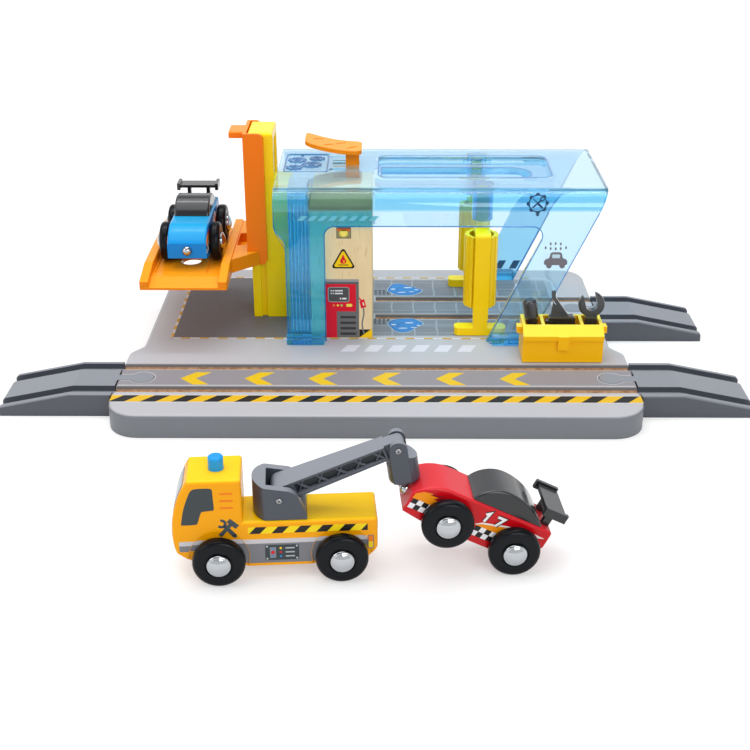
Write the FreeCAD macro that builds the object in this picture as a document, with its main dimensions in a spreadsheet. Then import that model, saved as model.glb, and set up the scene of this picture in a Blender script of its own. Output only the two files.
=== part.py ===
import FreeCAD, Part
import math
import os

import Sketcher

# Toy garage with a track board, a clear canopy, a lift, a car wash, a tool box, a crane truck and two cars.
# Millimetres: X to the right, Y to the back, Z up, origin at the centre of the board's underside.

SIZES = {
    # Clearances
    "seat_gap": 0.2,
    "slide_gap": 0.3,
    "pin_gap": 0.05,
    "overcut": 2.0,
    # Track board
    "board_thick": 12.0,
    "board_front_half": 131.1,
    "board_rear_half": 124.7,
    "board_half_deep": 98.5,
    "board_front_round": 16.0,
    "board_rear_round": 14.0,
    "board_step_front": -25.5,
    "board_step_back": -17.0,
    "board_step_round": 7.0,
    "board_edge_round": 1.5,
    "front_track_y": -56.2,
    "rear_track_y": 36.8,
    "rear_track_start": -1.0,
    "groove_spread": 26.0,
    "groove_wide": 7.0,
    "groove_deep": 3.0,
    "socket_radius": 6.2,
    "socket_inset": 12.0,
    "socket_neck": 6.6,
    # Ramps
    "ramp_long": 57.8,
    "ramp_flat": 21.3,
    "ramp_wide": 39.3,
    "ramp_tip": 4.6,
    "ramp_tip_round": 2.2,
    "ramp_edge_round": 1.2,
    # Canopy
    "canopy_left": -54.0,
    "canopy_front": -10.9,
    "canopy_back": 82.2,
    "canopy_top": 95.2,
    "canopy_wall": 2.4,
    "canopy_round": 10.3,
    "leg_left": -48.2,
    "leg_left_wide": 21.1,
    "leg_shoulder": 75.5,
    "leg_shoulder_drop": 7.5,
    "leg_shoulder_round": 6.0,
    "leg_right": 59.0,
    "leg_right_wide": 22.8,
    "leg_lean": 0.459,
    "valance_low": 77.0,
    "window_round": 5.0,
    "foot_deep": 5.3,
    "foot_high": 4.5,
    "foot_reach": 0.3,
    "foot_left_inset": 0.9,
    "foot_right_inset": 2.6,
    "foot_round": 1.8,
    "tray_left": 0.9,
    "tray_long": 92.7,
    "tray_front": 18.0,
    "tray_wide": 41.0,
    "tray_deep": 2.6,
    "tray_round": 5.0,
    "tray_slot_inset": 1.7,
    "tray_slot_long": 81.1,
    "tray_slot_front": 22.5,
    "tray_slot_wide": 22.0,
    "tray_slot_deep": 2.0,
    "gear_panel_left": -52.0,
    "gear_panel_long": 26.0,
    "gear_panel_front": 27.0,
    "gear_panel_wide": 37.0,
    "gear_panel_deep": 0.6,
    "louvre_long": 17.0,
    "louvre_wide": 4.0,
    "louvre_deep": 1.0,
    "louvre_pitch": 13.0,
    "wash_socket_wall": 1.45,
    "wash_socket_low": 75.2,
    "canopy_rib_thick": 1.2,
    "canopy_rib_deep": 8.0,
    "canopy_rib_low": 78.0,
    # Ribbed column
    "column_left": -47.0,
    "column_wide": 11.3,
    "column_front": 2.0,
    "column_deep": 20.6,
    "column_flutes": 6,
    "column_flute_radius": 0.6,
    # Fuel block
    "block_left": -35.3,
    "block_wide": 32.9,
    "block_front": -6.4,
    "block_deep": 58.4,
    "block_top": 86.7,
    "block_edge": 0.8,
    # Launch paddle
    "paddle_post_left": -17.3,
    "paddle_post_wide": 7.3,
    "paddle_post_front": 40.6,
    "paddle_post_deep": 8.8,
    "paddle_post_sunk": 9.0,
    "paddle_travel": 7.0,
    "paddle_left": -39.3,
    "paddle_long": 30.8,
    "paddle_wide": 20.6,
    "paddle_thick": 2.2,
    "paddle_low": 102.2,
    "paddle_rise": 5.4,
    "paddle_sag": 1.4,
    "paddle_round": 4.0,
    "paddle_tread_deep": 0.5,
    "paddle_treads": 4,
    "paddle_tread_lead": 0.6,
    # Lift tower
    "tower_left": -69.3,
    "tower_wide": 21.8,
    "tower_upper_wide": 13.8,
    "tower_front": 23.0,
    "tower_deep": 26.0,
    "tower_top": 117.5,
    "tower_step": 88.0,
    "tower_round": 2.0,
    "tower_slot_inset": 4.6,
    "tower_slot_wide": 3.1,
    "tower_slot_deep": 1.8,
    # Lift carriage and platform
    "lift_travel": 32.0,
    "carriage_thick": 1.8,
    "carriage_front_wide": 9.1,
    "carriage_back_wide": 6.0,
    "carriage_round": 3.0,
    "handle_long": 8.6,
    "handle_front": 25.5,
    "handle_wide": 15.3,
    "handle_thick": 3.4,
    "platform_centre": -101.75,
    "platform_wide": 46.1,
    "platform_front": -17.5,
    "platform_long": 90.5,
    "platform_thick": 4.0,
    "platform_lip": 1.2,
    "platform_rail_wide": 4.8,
    "platform_rail_high": 8.7,
    "platform_rail_nose": 4.6,
    "platform_rail_slope": 18.5,
    "platform_channel_wide": 7.2,
    "platform_channel_deep": 0.8,
    "platform_channel_start": -2.4,
    "platform_lead": 9.6,
    "platform_hole_wide": 11.0,
    "platform_hole_long": 18.0,
    "platform_hole_front": 10.0,
    "arm_front": 7.8,
    "arm_high": 7.7,
    "arm_reach": 13.7,
    "arm_pocket_wide": 5.0,
    "arm_pocket_front": 31.0,
    "arm_pocket_long": 20.0,
    "arm_pocket_deep": 5.0,
    # Car wash rollers
    "wash_x": 56.2,
    "wash_offset": 27.3,
    "roller_radius": 9.0,
    "roller_low": 26.3,
    "roller_top": 66.5,
    "roller_flutes": 14,
    "roller_flute_radius": 0.9,
    "roller_bore": 6.6,
    "roller_floor": 4.0,
    "roller_hub": 3.6,
    "spindle_radius": 2.0,
    "spindle_floor": 1.0,
    "wash_foot_wide": 28.0,
    "wash_foot_deep": 8.0,
    "wash_foot_high": 4.3,
    "wash_foot_round": 3.0,
    "wash_bar_wide": 8.2,
    "wash_bar_thick": 3.0,
    "wash_shelf_thick": 5.0,
    "wash_neck_wide": 7.4,
    "wash_arm_thick": 3.4,
    "wash_arm_round": 2.6,
    "wash_post_wide": 6.0,
    "wash_post_thick": 3.0,
    "wash_post_top": 90.0,
    # Tool box
    "toolbox_inset": 13.5,
    "toolbox_wide": 41.7,
    "toolbox_front": -37.2,
    "toolbox_deep": 19.2,
    "toolbox_high": 19.0,
    "toolbox_floor": 3.0,
    "toolbox_lip": 1.3,
    "toolbox_lip_low": 12.4,
    "toolbox_lip_high": 2.6,
    "toolbox_lid_deep": 5.0,
    "toolbox_wall": 1.7,
    "toolbox_small_bay": 8.2,
    "toolbox_knob": 5.0,
    "toolbox_knob_high": 3.6,
    "toolbox_knob_out": 2.6,
    "toolbox_knob_low": 13.4,
    "toolbox_latch_wide": 5.7,
    "toolbox_latch_high": 7.6,
    "toolbox_latch_out": 1.9,
    # Tools
    "driver_shank_radius": 1.7,
    "driver_shank_long": 13.0,
    "driver_collar_radius": 2.6,
    "driver_cone_long": 5.0,
    "driver_handle_radius": 3.7,
    "driver_handle_long": 9.5,
    "driver_round": 1.8,
    "driver_tilt": 9.0,
    "jack_wide": 13.8,
    "jack_thick": 4.0,
    "jack_high": 18.4,
    "jack_round": 1.6,
    "jack_bar": 1.9,
    "jack_recess": 0.9,
    "jack_knob_radius": 1.2,
    "jack_knob_out": 1.5,
    "jack_knob_drop": 3.2,
    "jack_rod": 2.0,
    "jack_rod_foot": 3.2,
    "jack_rod_inset": 5.9,
    "jack_rod_rise": 10.5,
    "jack_rod_lean": 6.9,
    "jack_hook": 3.0,
    "jack_plate_high": 7.6,
    "wrench_thick": 4.0,
    "wrench_shaft": 6.2,
    "wrench_shaft_long": 19.3,
    "wrench_jaw": 6.8,
    "wrench_jaw_seat": 5.4,
    "wrench_mouth": 6.2,
    "wrench_turn": 16.0,
    "wrench_round": 1.2,
    # Wheels
    "wheel_radius": 10.5,
    "wheel_wide": 5.4,
    "wheel_inner": 10.9,
    "wheel_round": 2.0,
    "wheel_dish_radius": 5.6,
    "wheel_dish_deep": 0.7,
    "wheel_boss_radius": 3.0,
    "hub_radius": 4.9,
    "hub_sunk": 1.6,
    "hub_out": 1.3,
    "hub_round": 1.1,
    "axle_radius": 1.5,
    # Cars, measured from the rear axle, tail to the plus side
    "car_wide": 21.0,
    "car_wheelbase": 30.3,
    "car_nose": 48.3,
    "car_nose_high": 4.6,
    "car_chin": 48.2,
    "car_chin_high": -3.7,
    "car_belly_front": 39.4,
    "car_brow": 42.9,
    "car_brow_high": 9.65,
    "car_hood": 34.0,
    "car_tail": 11.7,
    "car_tail_low": 3.0,
    "car_deck": 12.1,
    "car_belly": 5.0,
    "car_corner_round": 1.4,
    "car_edge_round": 1.2,
    "cabin_front": 24.8,
    "cabin_shoulder": 20.4,
    "cabin_shoulder_high": 5.45,
    "cabin_crown": 12.3,
    "cabin_high": 8.1,
    "cabin_slope": 1.0,
    "cabin_slope_high": 5.5,
    "cabin_rear": 6.6,
    "cabin_inset": 0.9,
    "spoiler_wide": 23.2,
    "spoiler_front": 4.0,
    "spoiler_chord": 9.0,
    "spoiler_thick": 1.5,
    "spoiler_low": 19.4,
    "spoiler_plate_long": 10.0,
    "spoiler_plate_high": 3.8,
    "spoiler_plate_thick": 1.8,
    "spoiler_strut_spread": 10.7,
    "spoiler_strut_thick": 2.0,
    "spoiler_strut_long": 3.2,
    "nose_ball_radius": 2.7,
    "nose_ball_along": 48.0,
    "nose_ball_height": 0.6,
    "blue_car_y": 51.3,
    "blue_car_rest": 0.1,
    # Crane truck, measured from the front axle, tail to the plus side
    "truck_x": -61.77,
    "truck_y": -205.74,
    "truck_yaw": 4.12,
    "truck_wide": 21.0,
    "truck_wheelbase": 48.44,
    "truck_nose": 17.5,
    "truck_bumper_high": 16.0,
    "truck_brow": 16.3,
    "truck_brow_high": 33.5,
    "truck_roof_front": 11.0,
    "truck_tail": 62.8,
    "truck_tail_low": 12.9,
    "truck_skirt_rear": 59.3,
    "truck_skirt_high": 8.5,
    "truck_belly_rear": 38.0,
    "truck_belly_front": 10.0,
    "truck_belly": 6.0,
    "truck_chin": 16.4,
    "truck_chin_high": 13.1,
    "truck_deck": 26.2,
    "truck_roof": 45.2,
    "cab_rear": 9.9,
    "truck_edge_round": 1.4,
    "truck_well_radius": 12.0,
    "truck_well_deep": 0.5,
    "beacon_radius": 3.1,
    "beacon_high": 5.6,
    "beacon_sunk": 2.0,
    "turret_x": 24.3,
    "turret_wide": 20.0,
    "turret_back": 10.6,
    "turret_corner": 5.9,
    "turret_slot": 5.1,
    "turret_front": 10.8,
    "turret_floor": 3.0,
    "turret_back_top": 41.7,
    "turret_brow": 3.6,
    "turret_brow_high": 39.3,
    "turret_bend": 5.9,
    "turret_bend_high": 38.0,
    "turret_slope": 7.6,
    "turret_slope_high": 36.0,
    "turret_nose_high": 28.2,
    "turret_pivot_radius": 4.0,
    "turret_pivot_deep": 6.0,
    "turret_corner_round": 2.0,
    "boom_pivot_high": 35.1,
    "boom_long": 50.2,
    "boom_wide": 12.8,
    "boom_high": 7.2,
    "boom_rise": 21.4,
    "boom_end_wide": 9.8,
    "boom_tip_wide": 7.0,
    "boom_tip_high": 5.8,
    "boom_tip_long": 4.75,
    "boom_pin_radius": 1.3,
    "boom_crosses": 5,
    "boom_cross_start": 9.5,
    "boom_cross_pitch": 8.15,
    "boom_cross_half": 1.9,
    "boom_web_wide": 8.6,
    "boom_core_wide": 6.4,
    "boom_bar": 0.46,
    "boom_flange": 1.0,
    "head_tilt": 8.0,
    "head_wide": 12.6,
    "head_ear_half": 3.6,
    "head_radius": 6.3,
    "head_offset": 0.9,
    "head_low": 16.2,
    "head_top": 2.4,
    "head_back_high": 4.0,
    "head_back_low": 5.8,
    "head_bottom_round": 1.6,
    "head_slope": 34.0,
    "head_clear": 0.6,
    "head_pin_radius": 1.2,
    "magnet_radius": 3.2,
    "magnet_out": 0.2,
    "magnet_sunk": 2.2,
    # Red car hanging from the crane
    "red_car_along": 117.0,
    "red_car_pitch": 27.3,
}


class Size:
    """A length with the sheet expression that gives it."""

    def __init__(self, value, text):
        self.value = float(value)
        self.text = text

    @staticmethod
    def of(other):
        return other if isinstance(other, Size) else Size(other, repr(float(other)))

    def joined(self, other, sign, value):
        return Size(value, "(%s %s %s)" % (self.text, sign, other.text))

    def __add__(self, other):
        other = Size.of(other)
        return self.joined(other, "+", self.value + other.value)

    def __sub__(self, other):
        other = Size.of(other)
        return self.joined(other, "-", self.value - other.value)

    def __mul__(self, other):
        other = Size.of(other)
        return self.joined(other, "*", self.value * other.value)

    def __truediv__(self, other):
        other = Size.of(other)
        return self.joined(other, "/", self.value / other.value)

    def __radd__(self, other):
        return Size.of(other) + self

    def __rtruediv__(self, other):
        return Size.of(other) / self

    def __rsub__(self, other):
        return Size.of(other) - self

    def __rmul__(self, other):
        return Size.of(other) * self

    def __neg__(self):
        return Size(-self.value, "(0 - %s)" % self.text)


def sine(angle):
    angle = Size.of(angle)
    return Size(math.sin(math.radians(angle.value)), "sin(%s * 1 deg)" % angle.text)


def cosine(angle):
    angle = Size.of(angle)
    return Size(math.cos(math.radians(angle.value)), "cos(%s * 1 deg)" % angle.text)


doc = FreeCAD.newDocument("ToyGarage")
sheet = doc.addObject("Spreadsheet::Sheet", "Sizes")


class Sheet:
    """The named sizes, each as a Size bound to its cell."""

    def __init__(self, sizes):
        for row, (name, number) in enumerate(sizes.items(), start=1):
            sheet.set("A%d" % row, name)
            sheet.set("B%d" % row, str(number))
            sheet.setAlias("B%d" % row, name)
            setattr(self, name, Size(number, "Sizes.%s" % name))
        doc.recompute()


S = Sheet(SIZES)

PLANES = {"XY": "XY_Plane", "XZ": "XZ_Plane", "YZ": "YZ_Plane"}
NEAR = 1e-4
FULL_TURN = 360.0


def bind(thing, target, size):
    """Binds one property of a document object to a size."""
    thing.setExpression(target, Size.of(size).text)


class Via:
    """A point that the arc between its two neighbours passes through."""

    def __init__(self, x, y):
        self.x = Size.of(x)
        self.y = Size.of(y)


class Corner:
    """A point of an outline, rounded where it has a radius."""

    def __init__(self, x, y, radius=None):
        self.x = Size.of(x)
        self.y = Size.of(y)
        self.radius = None if radius is None else Size.of(radius)

    @property
    def vector(self):
        return FreeCAD.Vector(self.x.value, self.y.value, 0)


class Ring:
    """A full circle in a sketch."""

    def __init__(self, x, y, radius):
        self.x = Size.of(x)
        self.y = Size.of(y)
        self.radius = Size.of(radius)


def rounded(before, corner, after):
    """Gives the two ends and the middle of the arc that rounds a corner."""
    one = (before.vector - corner.vector).normalize()
    two = (after.vector - corner.vector).normalize()
    half = math.acos(max(-1.0, min(1.0, one.dot(two)))) / 2
    reach = corner.radius.value / math.tan(half)
    centre = corner.vector + (one + two).normalize() * (corner.radius.value / math.sin(half))
    middle = centre + (corner.vector - centre).normalize() * corner.radius.value
    return corner.vector + one * reach, middle, corner.vector + two * reach


def arc_through(start, middle, end):
    """Makes a left-turning sketch arc and says which of its ends is the start."""
    circle = Part.ArcOfCircle(start, middle, end)
    centre = circle.Center
    turn = (middle - start).cross(end - middle).z
    first, last = (start, end) if turn > 0 else (end, start)
    low = math.atan2(first.y - centre.y, first.x - centre.x)
    high = math.atan2(last.y - centre.y, last.x - centre.x)
    if high <= low:
        high += 2 * math.pi
    shape = Part.ArcOfCircle(Part.Circle(centre, FreeCAD.Vector(0, 0, 1), circle.Radius), low, high)
    return shape, (1, 2) if turn > 0 else (2, 1)


class Outline:
    """Draws one closed outline in a sketch and binds its points to sizes."""

    def __init__(self, sketch):
        self.sketch = sketch
        self.constraints = []
        self.bound = []

    def constrain(self, *values, size=None):
        if size is not None:
            values = values + (Size.of(size).value,)
            self.bound.append((len(self.constraints), size))
        self.constraints.append(Sketcher.Constraint(*values))

    def fix(self, geometry, end, point):
        self.constrain("DistanceX", -1, 1, geometry, end, size=point.x)
        self.constrain("DistanceY", -1, 1, geometry, end, size=point.y)

    def guide(self, point):
        index = self.sketch.addGeometry(Part.Point(FreeCAD.Vector(point.x.value, point.y.value, 0)), True)
        self.fix(index, 1, point)
        return index

    def ring(self, ring):
        centre = FreeCAD.Vector(ring.x.value, ring.y.value, 0)
        circle = Part.Circle(centre, FreeCAD.Vector(0, 0, 1), ring.radius.value)
        index = self.sketch.addGeometry(circle, False)
        self.fix(index, 3, ring)
        self.constrain("Radius", index, size=ring.radius)

    def closed(self, points):
        corners = [p for p in points if isinstance(p, Corner)]
        after = {}
        for here, point in enumerate(points):
            if isinstance(point, Via):
                after[id(points[here - 1])] = point
        count = len(corners)
        arcs = {}
        for i, corner in enumerate(corners):
            if corner.radius is not None:
                arcs[i] = rounded(corners[i - 1], corner, corners[(i + 1) % count])
        edges = []
        for i, corner in enumerate(corners):
            following = (i + 1) % count
            start = arcs[i][2] if i in arcs else corner.vector
            end = arcs[following][0] if following in arcs else corners[following].vector
            via = after.get(id(corner))
            if via is None:
                index = self.sketch.addGeometry(Part.LineSegment(start, end), False)
                edges.append((index, 1, 2))
            else:
                middle = FreeCAD.Vector(via.x.value, via.y.value, 0)
                shape, ends = arc_through(start, middle, end)
                index = self.sketch.addGeometry(shape, False)
                edges.append((index,) + ends)
                self.constrain("PointOnObject", self.guide(via), 1, index)
        for i, corner in enumerate(corners):
            incoming = edges[i - 1]
            outgoing = edges[i]
            if i not in arcs:
                self.constrain("Coincident", incoming[0], incoming[2], outgoing[0], outgoing[1])
                self.fix(outgoing[0], outgoing[1], corner)
                continue
            shape, ends = arc_through(*arcs[i])
            index = self.sketch.addGeometry(shape, False)
            point = self.guide(corner)
            self.constrain("PointOnObject", point, 1, incoming[0])
            self.constrain("PointOnObject", point, 1, outgoing[0])
            self.constrain("Tangent", incoming[0], incoming[2], index, ends[0])
            self.constrain("Tangent", index, ends[1], outgoing[0], outgoing[1])
            self.constrain("Radius", index, size=corner.radius)

    def finish(self):
        first = len(self.sketch.Constraints)
        self.sketch.addConstraint(self.constraints)
        for offset, size in self.bound:
            self.sketch.setExpression("Constraints[%d]" % (first + offset), Size.of(size).text)


class Piece:
    """One named sub-part: a body built up from sketches and primitives."""

    def __init__(self, label):
        self.body = doc.addObject("PartDesign::Body", label)
        self.body.Label = label

    def feature(self, kind, name):
        return self.body.newObject(kind, "%s_%s" % (self.body.Name, name))

    def box(self, x, y, z, cut=False):
        """Adds or cuts a box given by its low and high side along each axis."""
        kind = "PartDesign::SubtractiveBox" if cut else "PartDesign::AdditiveBox"
        box = self.feature(kind, "box")
        for side, target, axis in ((x, "Length", "x"), (y, "Width", "y"), (z, "Height", "z")):
            low, high = Size.of(side[0]), Size.of(side[1])
            bind(box, target, high - low)
            bind(box, ".Placement.Base.%s" % axis, low)
        return self

    def cylinder(self, axis, centre, radius, low, high, cut=False):
        """Adds or cuts a cylinder along X, Y or Z between two places on that axis."""
        kind = "PartDesign::SubtractiveCylinder" if cut else "PartDesign::AdditiveCylinder"
        cylinder = self.feature(kind, "cylinder")
        turn = {"X": ("0", "90", "0"), "Y": ("0", "0", "-90"), "Z": ("0", "0", "0")}[axis]
        low, high = Size.of(low), Size.of(high)
        first, second = Size.of(centre[0]), Size.of(centre[1])
        base = {"X": (low, first, second), "Y": (first, low, second), "Z": (first, second, low)}[axis]
        bind(cylinder, "Radius", radius)
        bind(cylinder, "Height", high - low)
        cylinder.setExpression("Placement", placement_text(base, turn))
        return self

    def cone(self, centre, low_radius, high_radius, low, high):
        """Adds an upright cone piece with one radius at its low end and one at its high end."""
        cone = self.feature("PartDesign::AdditiveCone", "cone")
        low, high = Size.of(low), Size.of(high)
        bind(cone, "Radius1", low_radius)
        bind(cone, "Radius2", high_radius)
        bind(cone, "Height", high - low)
        base = (Size.of(centre[0]), Size.of(centre[1]), low)
        cone.setExpression("Placement", placement_text(base, ("0", "0", "0")))
        return self

    def ball(self, centre, radius, cut=False):
        kind = "PartDesign::SubtractiveSphere" if cut else "PartDesign::AdditiveSphere"
        ball = self.feature(kind, "ball")
        bind(ball, "Radius", radius)
        ball.setExpression("Placement", placement_text([Size.of(c) for c in centre], ("0", "0", "0")))
        return self

    def pad(self, plane, outlines, low, high, cut=False):
        """Adds or cuts outlines of one plane between two places along its normal."""
        low, high = Size.of(low), Size.of(high)
        sketch = self.feature("Sketcher::SketchObject", "sketch")
        origin = [f for f in self.body.Origin.OriginFeatures if f.Role == PLANES[plane]][0]
        sketch.AttachmentSupport = [(origin, "")]
        sketch.MapMode = "FlatFace"
        bind(sketch, ".AttachmentOffset.Base.z", -high if plane == "XZ" else low)
        for points in outlines:
            outline = Outline(sketch)
            if isinstance(points, Ring):
                outline.ring(points)
            else:
                outline.closed(points)
            outline.finish()
        pad = self.feature("PartDesign::Pocket" if cut else "PartDesign::Pad", "cut" if cut else "pad")
        pad.Profile = sketch
        pad.Reversed = cut
        bind(pad, "Length", high - low)
        return self

    def round(self, radius, chosen):
        """Rounds the edges of the shape so far that the given test picks."""
        doc.recompute()
        base = self.body.Tip
        edges = [
            "Edge%d" % number
            for number, edge in enumerate(base.Shape.Edges, start=1)
            if chosen(edge, edge.CenterOfMass)
        ]
        if not edges:
            raise RuntimeError("no edge to round on %s" % self.body.Label)
        fillet = self.feature("PartDesign::Fillet", "round")
        fillet.Base = (base, edges)
        bind(fillet, "Radius", radius)
        return self

    def place(self, point, yaw=0.0, pitch=0.0, roll=0.0):
        """Moves the whole sub-part from its own frame to its place."""
        angles = tuple(Size.of(angle).text for angle in (yaw, pitch, roll))
        self.body.setExpression("Placement", placement_text([Size.of(c) for c in point], angles))
        return self


def placement_text(base, angles):
    place = "; ".join(size.text for size in base)
    turn = "; ".join(angles)
    return "create(<<placement>>; create(<<vector>>; %s); create(<<rotation>>; %s))" % (place, turn)


def along(edge, axis):
    """Whether a straight edge runs along an axis."""
    if edge.Curve.TypeId != "Part::GeomLine":
        return False
    return abs(getattr(edge.Curve.Direction, axis)) > 1 - NEAR


def near(number, size):
    return abs(number - Size.of(size).value) < NEAR


def rectangle(x, y, radius=None):
    return [
        Corner(x[0], y[0], radius),
        Corner(x[1], y[0], radius),
        Corner(x[1], y[1], radius),
        Corner(x[0], y[1], radius),
    ]


def base_board():
    """The wooden base with its S-shaped sides, wheel grooves and peg sockets."""
    front, rear = S.board_front_half, S.board_rear_half
    deep = S.board_half_deep
    turn = S.board_step_round
    outline = [
        Corner(-front, -deep, S.board_front_round),
        Corner(front, -deep, S.board_front_round),
        Corner(front, S.board_step_front, turn),
        Corner(rear, S.board_step_back, turn),
        Corner(rear, deep, S.board_rear_round),
        Corner(-rear, deep, S.board_rear_round),
        Corner(-rear, S.board_step_back, turn),
        Corner(-front, S.board_step_front, turn),
    ]
    board = Piece("base_board")
    board.pad("XY", [outline], 0, S.board_thick)
    board.round(S.board_edge_round, lambda edge, middle: near(middle.z, S.board_thick))
    floor = S.board_thick - S.groove_deep
    above = S.board_thick + S.overcut
    for track, start in ((S.front_track_y, -front - S.overcut), (S.rear_track_y, S.rear_track_start)):
        for side in (-1, 1):
            middle = track + side * S.groove_spread / 2
            across = (middle - S.groove_wide / 2, middle + S.groove_wide / 2)
            board.box((start, front + S.overcut), across, (floor, above), cut=True)
    for edge, track in sockets():
        way = 1 if edge.value > 0 else -1
        neck = reach(edge, way, -S.socket_inset, S.overcut)
        across = (track - S.socket_neck / 2, track + S.socket_neck / 2)
        centre = edge - way * S.socket_inset
        board.box(neck, across, (-S.overcut, above), cut=True)
        board.cylinder("Z", (centre, track), S.socket_radius, -S.overcut, above, cut=True)


def sockets():
    """The board edges and track centres that take a ramp."""
    return [
        (-S.board_front_half, S.front_track_y),
        (S.board_front_half, S.front_track_y),
        (S.board_rear_half, S.rear_track_y),
    ]


def ramp(label, edge, track):
    """A slip-on ramp, drawn outward from the board's edge."""
    thick = S.board_thick
    half = S.ramp_wide / 2
    gap = S.slide_gap
    piece = Piece(label)
    side = [
        Corner(gap, 0),
        Corner(S.ramp_long, 0),
        Corner(S.ramp_long, S.ramp_tip, S.ramp_tip_round),
        Corner(S.ramp_flat, thick),
        Corner(gap, thick),
    ]
    piece.pad("XZ", [side], -half, half)
    tip = S.ramp_tip.value
    piece.round(S.ramp_edge_round, lambda edge, middle: near(abs(middle.y), half) and middle.z > tip)
    groove = [
        Corner(gap - S.overcut, thick - S.groove_deep),
        Corner(S.ramp_flat, thick - S.groove_deep),
        Corner(S.ramp_long, S.ramp_tip - S.groove_deep),
        Corner(S.ramp_long + S.overcut, S.ramp_tip - S.groove_deep),
        Corner(S.ramp_long + S.overcut, thick + S.overcut),
        Corner(gap - S.overcut, thick + S.overcut),
    ]
    for way in (-1, 1):
        middle = way * S.groove_spread / 2
        piece.pad("XZ", [groove], middle - S.groove_wide / 2, middle + S.groove_wide / 2, cut=True)
    neck = S.socket_neck / 2 - gap
    piece.box((-S.socket_inset, gap + S.overcut), (-neck, neck), (0, thick))
    piece.cylinder("Z", (-S.socket_inset, 0), S.socket_radius - gap, 0, thick)
    piece.place((edge, track, 0), yaw=0 if edge.value > 0 else 180)


def leg_right_at(height):
    """The left edge of the slanted right leg at a height above the board."""
    return S.leg_right + S.leg_lean * (height - S.board_thick)


def canopy():
    """The clear shell: roof and two walls in one, with legs, feet, tray, louvres and brush sockets."""
    left, top, wall = S.canopy_left, S.canopy_top, S.canopy_wall
    front, back, ground = S.canopy_front, S.canopy_back, S.board_thick + S.seat_gap
    right = leg_right_at(top) + S.leg_right_wide
    inner_round = S.canopy_round - wall
    piece = Piece("canopy")
    section = [
        Corner(front, ground),
        Corner(front + wall, ground),
        Corner(front + wall, top - wall, inner_round),
        Corner(back - wall, top - wall, inner_round),
        Corner(back - wall, ground),
        Corner(back, ground),
        Corner(back, top, S.canopy_round),
        Corner(front, top, S.canopy_round),
    ]
    piece.pad("YZ", [section], left, right)
    low = ground - S.overcut
    leg_inner = S.leg_left + S.leg_left_wide
    shoulder = S.leg_shoulder_round
    window = [
        Corner(leg_inner, low),
        Corner(leg_right_at(low), low),
        Corner(leg_right_at(S.valance_low), S.valance_low, S.window_round),
        Corner(leg_inner, S.valance_low, S.window_round),
    ]
    outside_left = [
        Corner(left - S.overcut, low),
        Corner(S.leg_left, low),
        Corner(S.leg_left, S.leg_shoulder - S.leg_shoulder_drop, shoulder),
        Corner(left, S.leg_shoulder, shoulder),
        Corner(left, S.leg_shoulder + S.leg_shoulder_drop),
        Corner(left - S.overcut, S.leg_shoulder + S.leg_shoulder_drop),
    ]
    outside_right = [
        Corner(leg_right_at(low) + S.leg_right_wide, low),
        Corner(right + S.overcut, low),
        Corner(right + S.overcut, top + S.overcut),
        Corner(leg_right_at(top + S.overcut) + S.leg_right_wide, top + S.overcut),
    ]
    outlines = [window, outside_left, outside_right]
    piece.pad("XZ", outlines, front - S.overcut, back + S.overcut, cut=True)
    canopy_feet(piece, ground)
    canopy_roof(piece)
    canopy_sockets(piece)


def canopy_feet(piece, ground):
    reach = S.foot_reach
    spans = (
        (S.leg_left - reach, S.leg_left + S.leg_left_wide - S.foot_left_inset),
        (S.leg_right + S.foot_right_inset, S.leg_right + S.leg_right_wide + reach),
    )
    for span in spans:
        ends = (
            (S.canopy_front - S.foot_deep, S.canopy_front + S.canopy_wall / 2),
            (S.canopy_back - S.canopy_wall / 2, S.canopy_back + S.foot_deep),
        )
        for across in ends:
            outline = rectangle(span, across, S.foot_round)
            piece.pad("XY", [outline], ground, ground + S.foot_high)


def post_slot():
    """The slot in the roof and in the block that the paddle's post slides in."""
    gap = S.slide_gap
    left = S.paddle_post_left - S.paddle_travel - gap
    right = S.paddle_post_left + S.paddle_post_wide + gap
    front = S.paddle_post_front - gap
    back = S.paddle_post_front + S.paddle_post_deep + gap
    return (left, right), (front, back)


def canopy_roof(piece):
    """The roof's tray, its inner slot, the gear panel, the louvres and the post slot."""
    top, wall = S.canopy_top, S.canopy_wall
    above = top + S.overcut
    tray = (S.tray_left, S.tray_left + S.tray_long)
    tray_across = (S.tray_front, S.tray_front + S.tray_wide)
    depth = S.tray_deep + S.tray_slot_deep
    shell = rectangle(
        (tray[0] - wall, tray[1] + wall),
        (tray_across[0] - wall, tray_across[1] + wall),
        S.tray_round + wall,
    )
    piece.pad("XY", [shell], top - depth - wall, top - wall / 2)
    piece.pad("XY", [rectangle(tray, tray_across, S.tray_round)], top - S.tray_deep, above, cut=True)
    slot = (tray[0] + S.tray_slot_inset, tray[0] + S.tray_slot_inset + S.tray_slot_long)
    slot_across = (S.tray_slot_front, S.tray_slot_front + S.tray_slot_wide)
    piece.pad("XY", [slot_outline(slot, slot_across)], top - depth, top - S.tray_deep + wall / 2, cut=True)
    gear_x = (S.gear_panel_left, S.gear_panel_left + S.gear_panel_long)
    gear_y = (S.gear_panel_front, S.gear_panel_front + S.gear_panel_wide)
    piece.box(gear_x, gear_y, (top - S.gear_panel_deep, above), cut=True)
    slot_x, slot_y = post_slot()
    piece.box(slot_x, slot_y, (top - 2 * wall, above), cut=True)
    middle = (slot_y[0] + slot_y[1]) / 2
    for way in (-1, 1):
        centre = middle + way * S.louvre_pitch
        louvre = (slot_x[1] - S.louvre_long, slot_x[1])
        across = (centre - S.louvre_wide / 2, centre + S.louvre_wide / 2)
        piece.box(louvre, across, (top - S.louvre_deep, above), cut=True)


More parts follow.
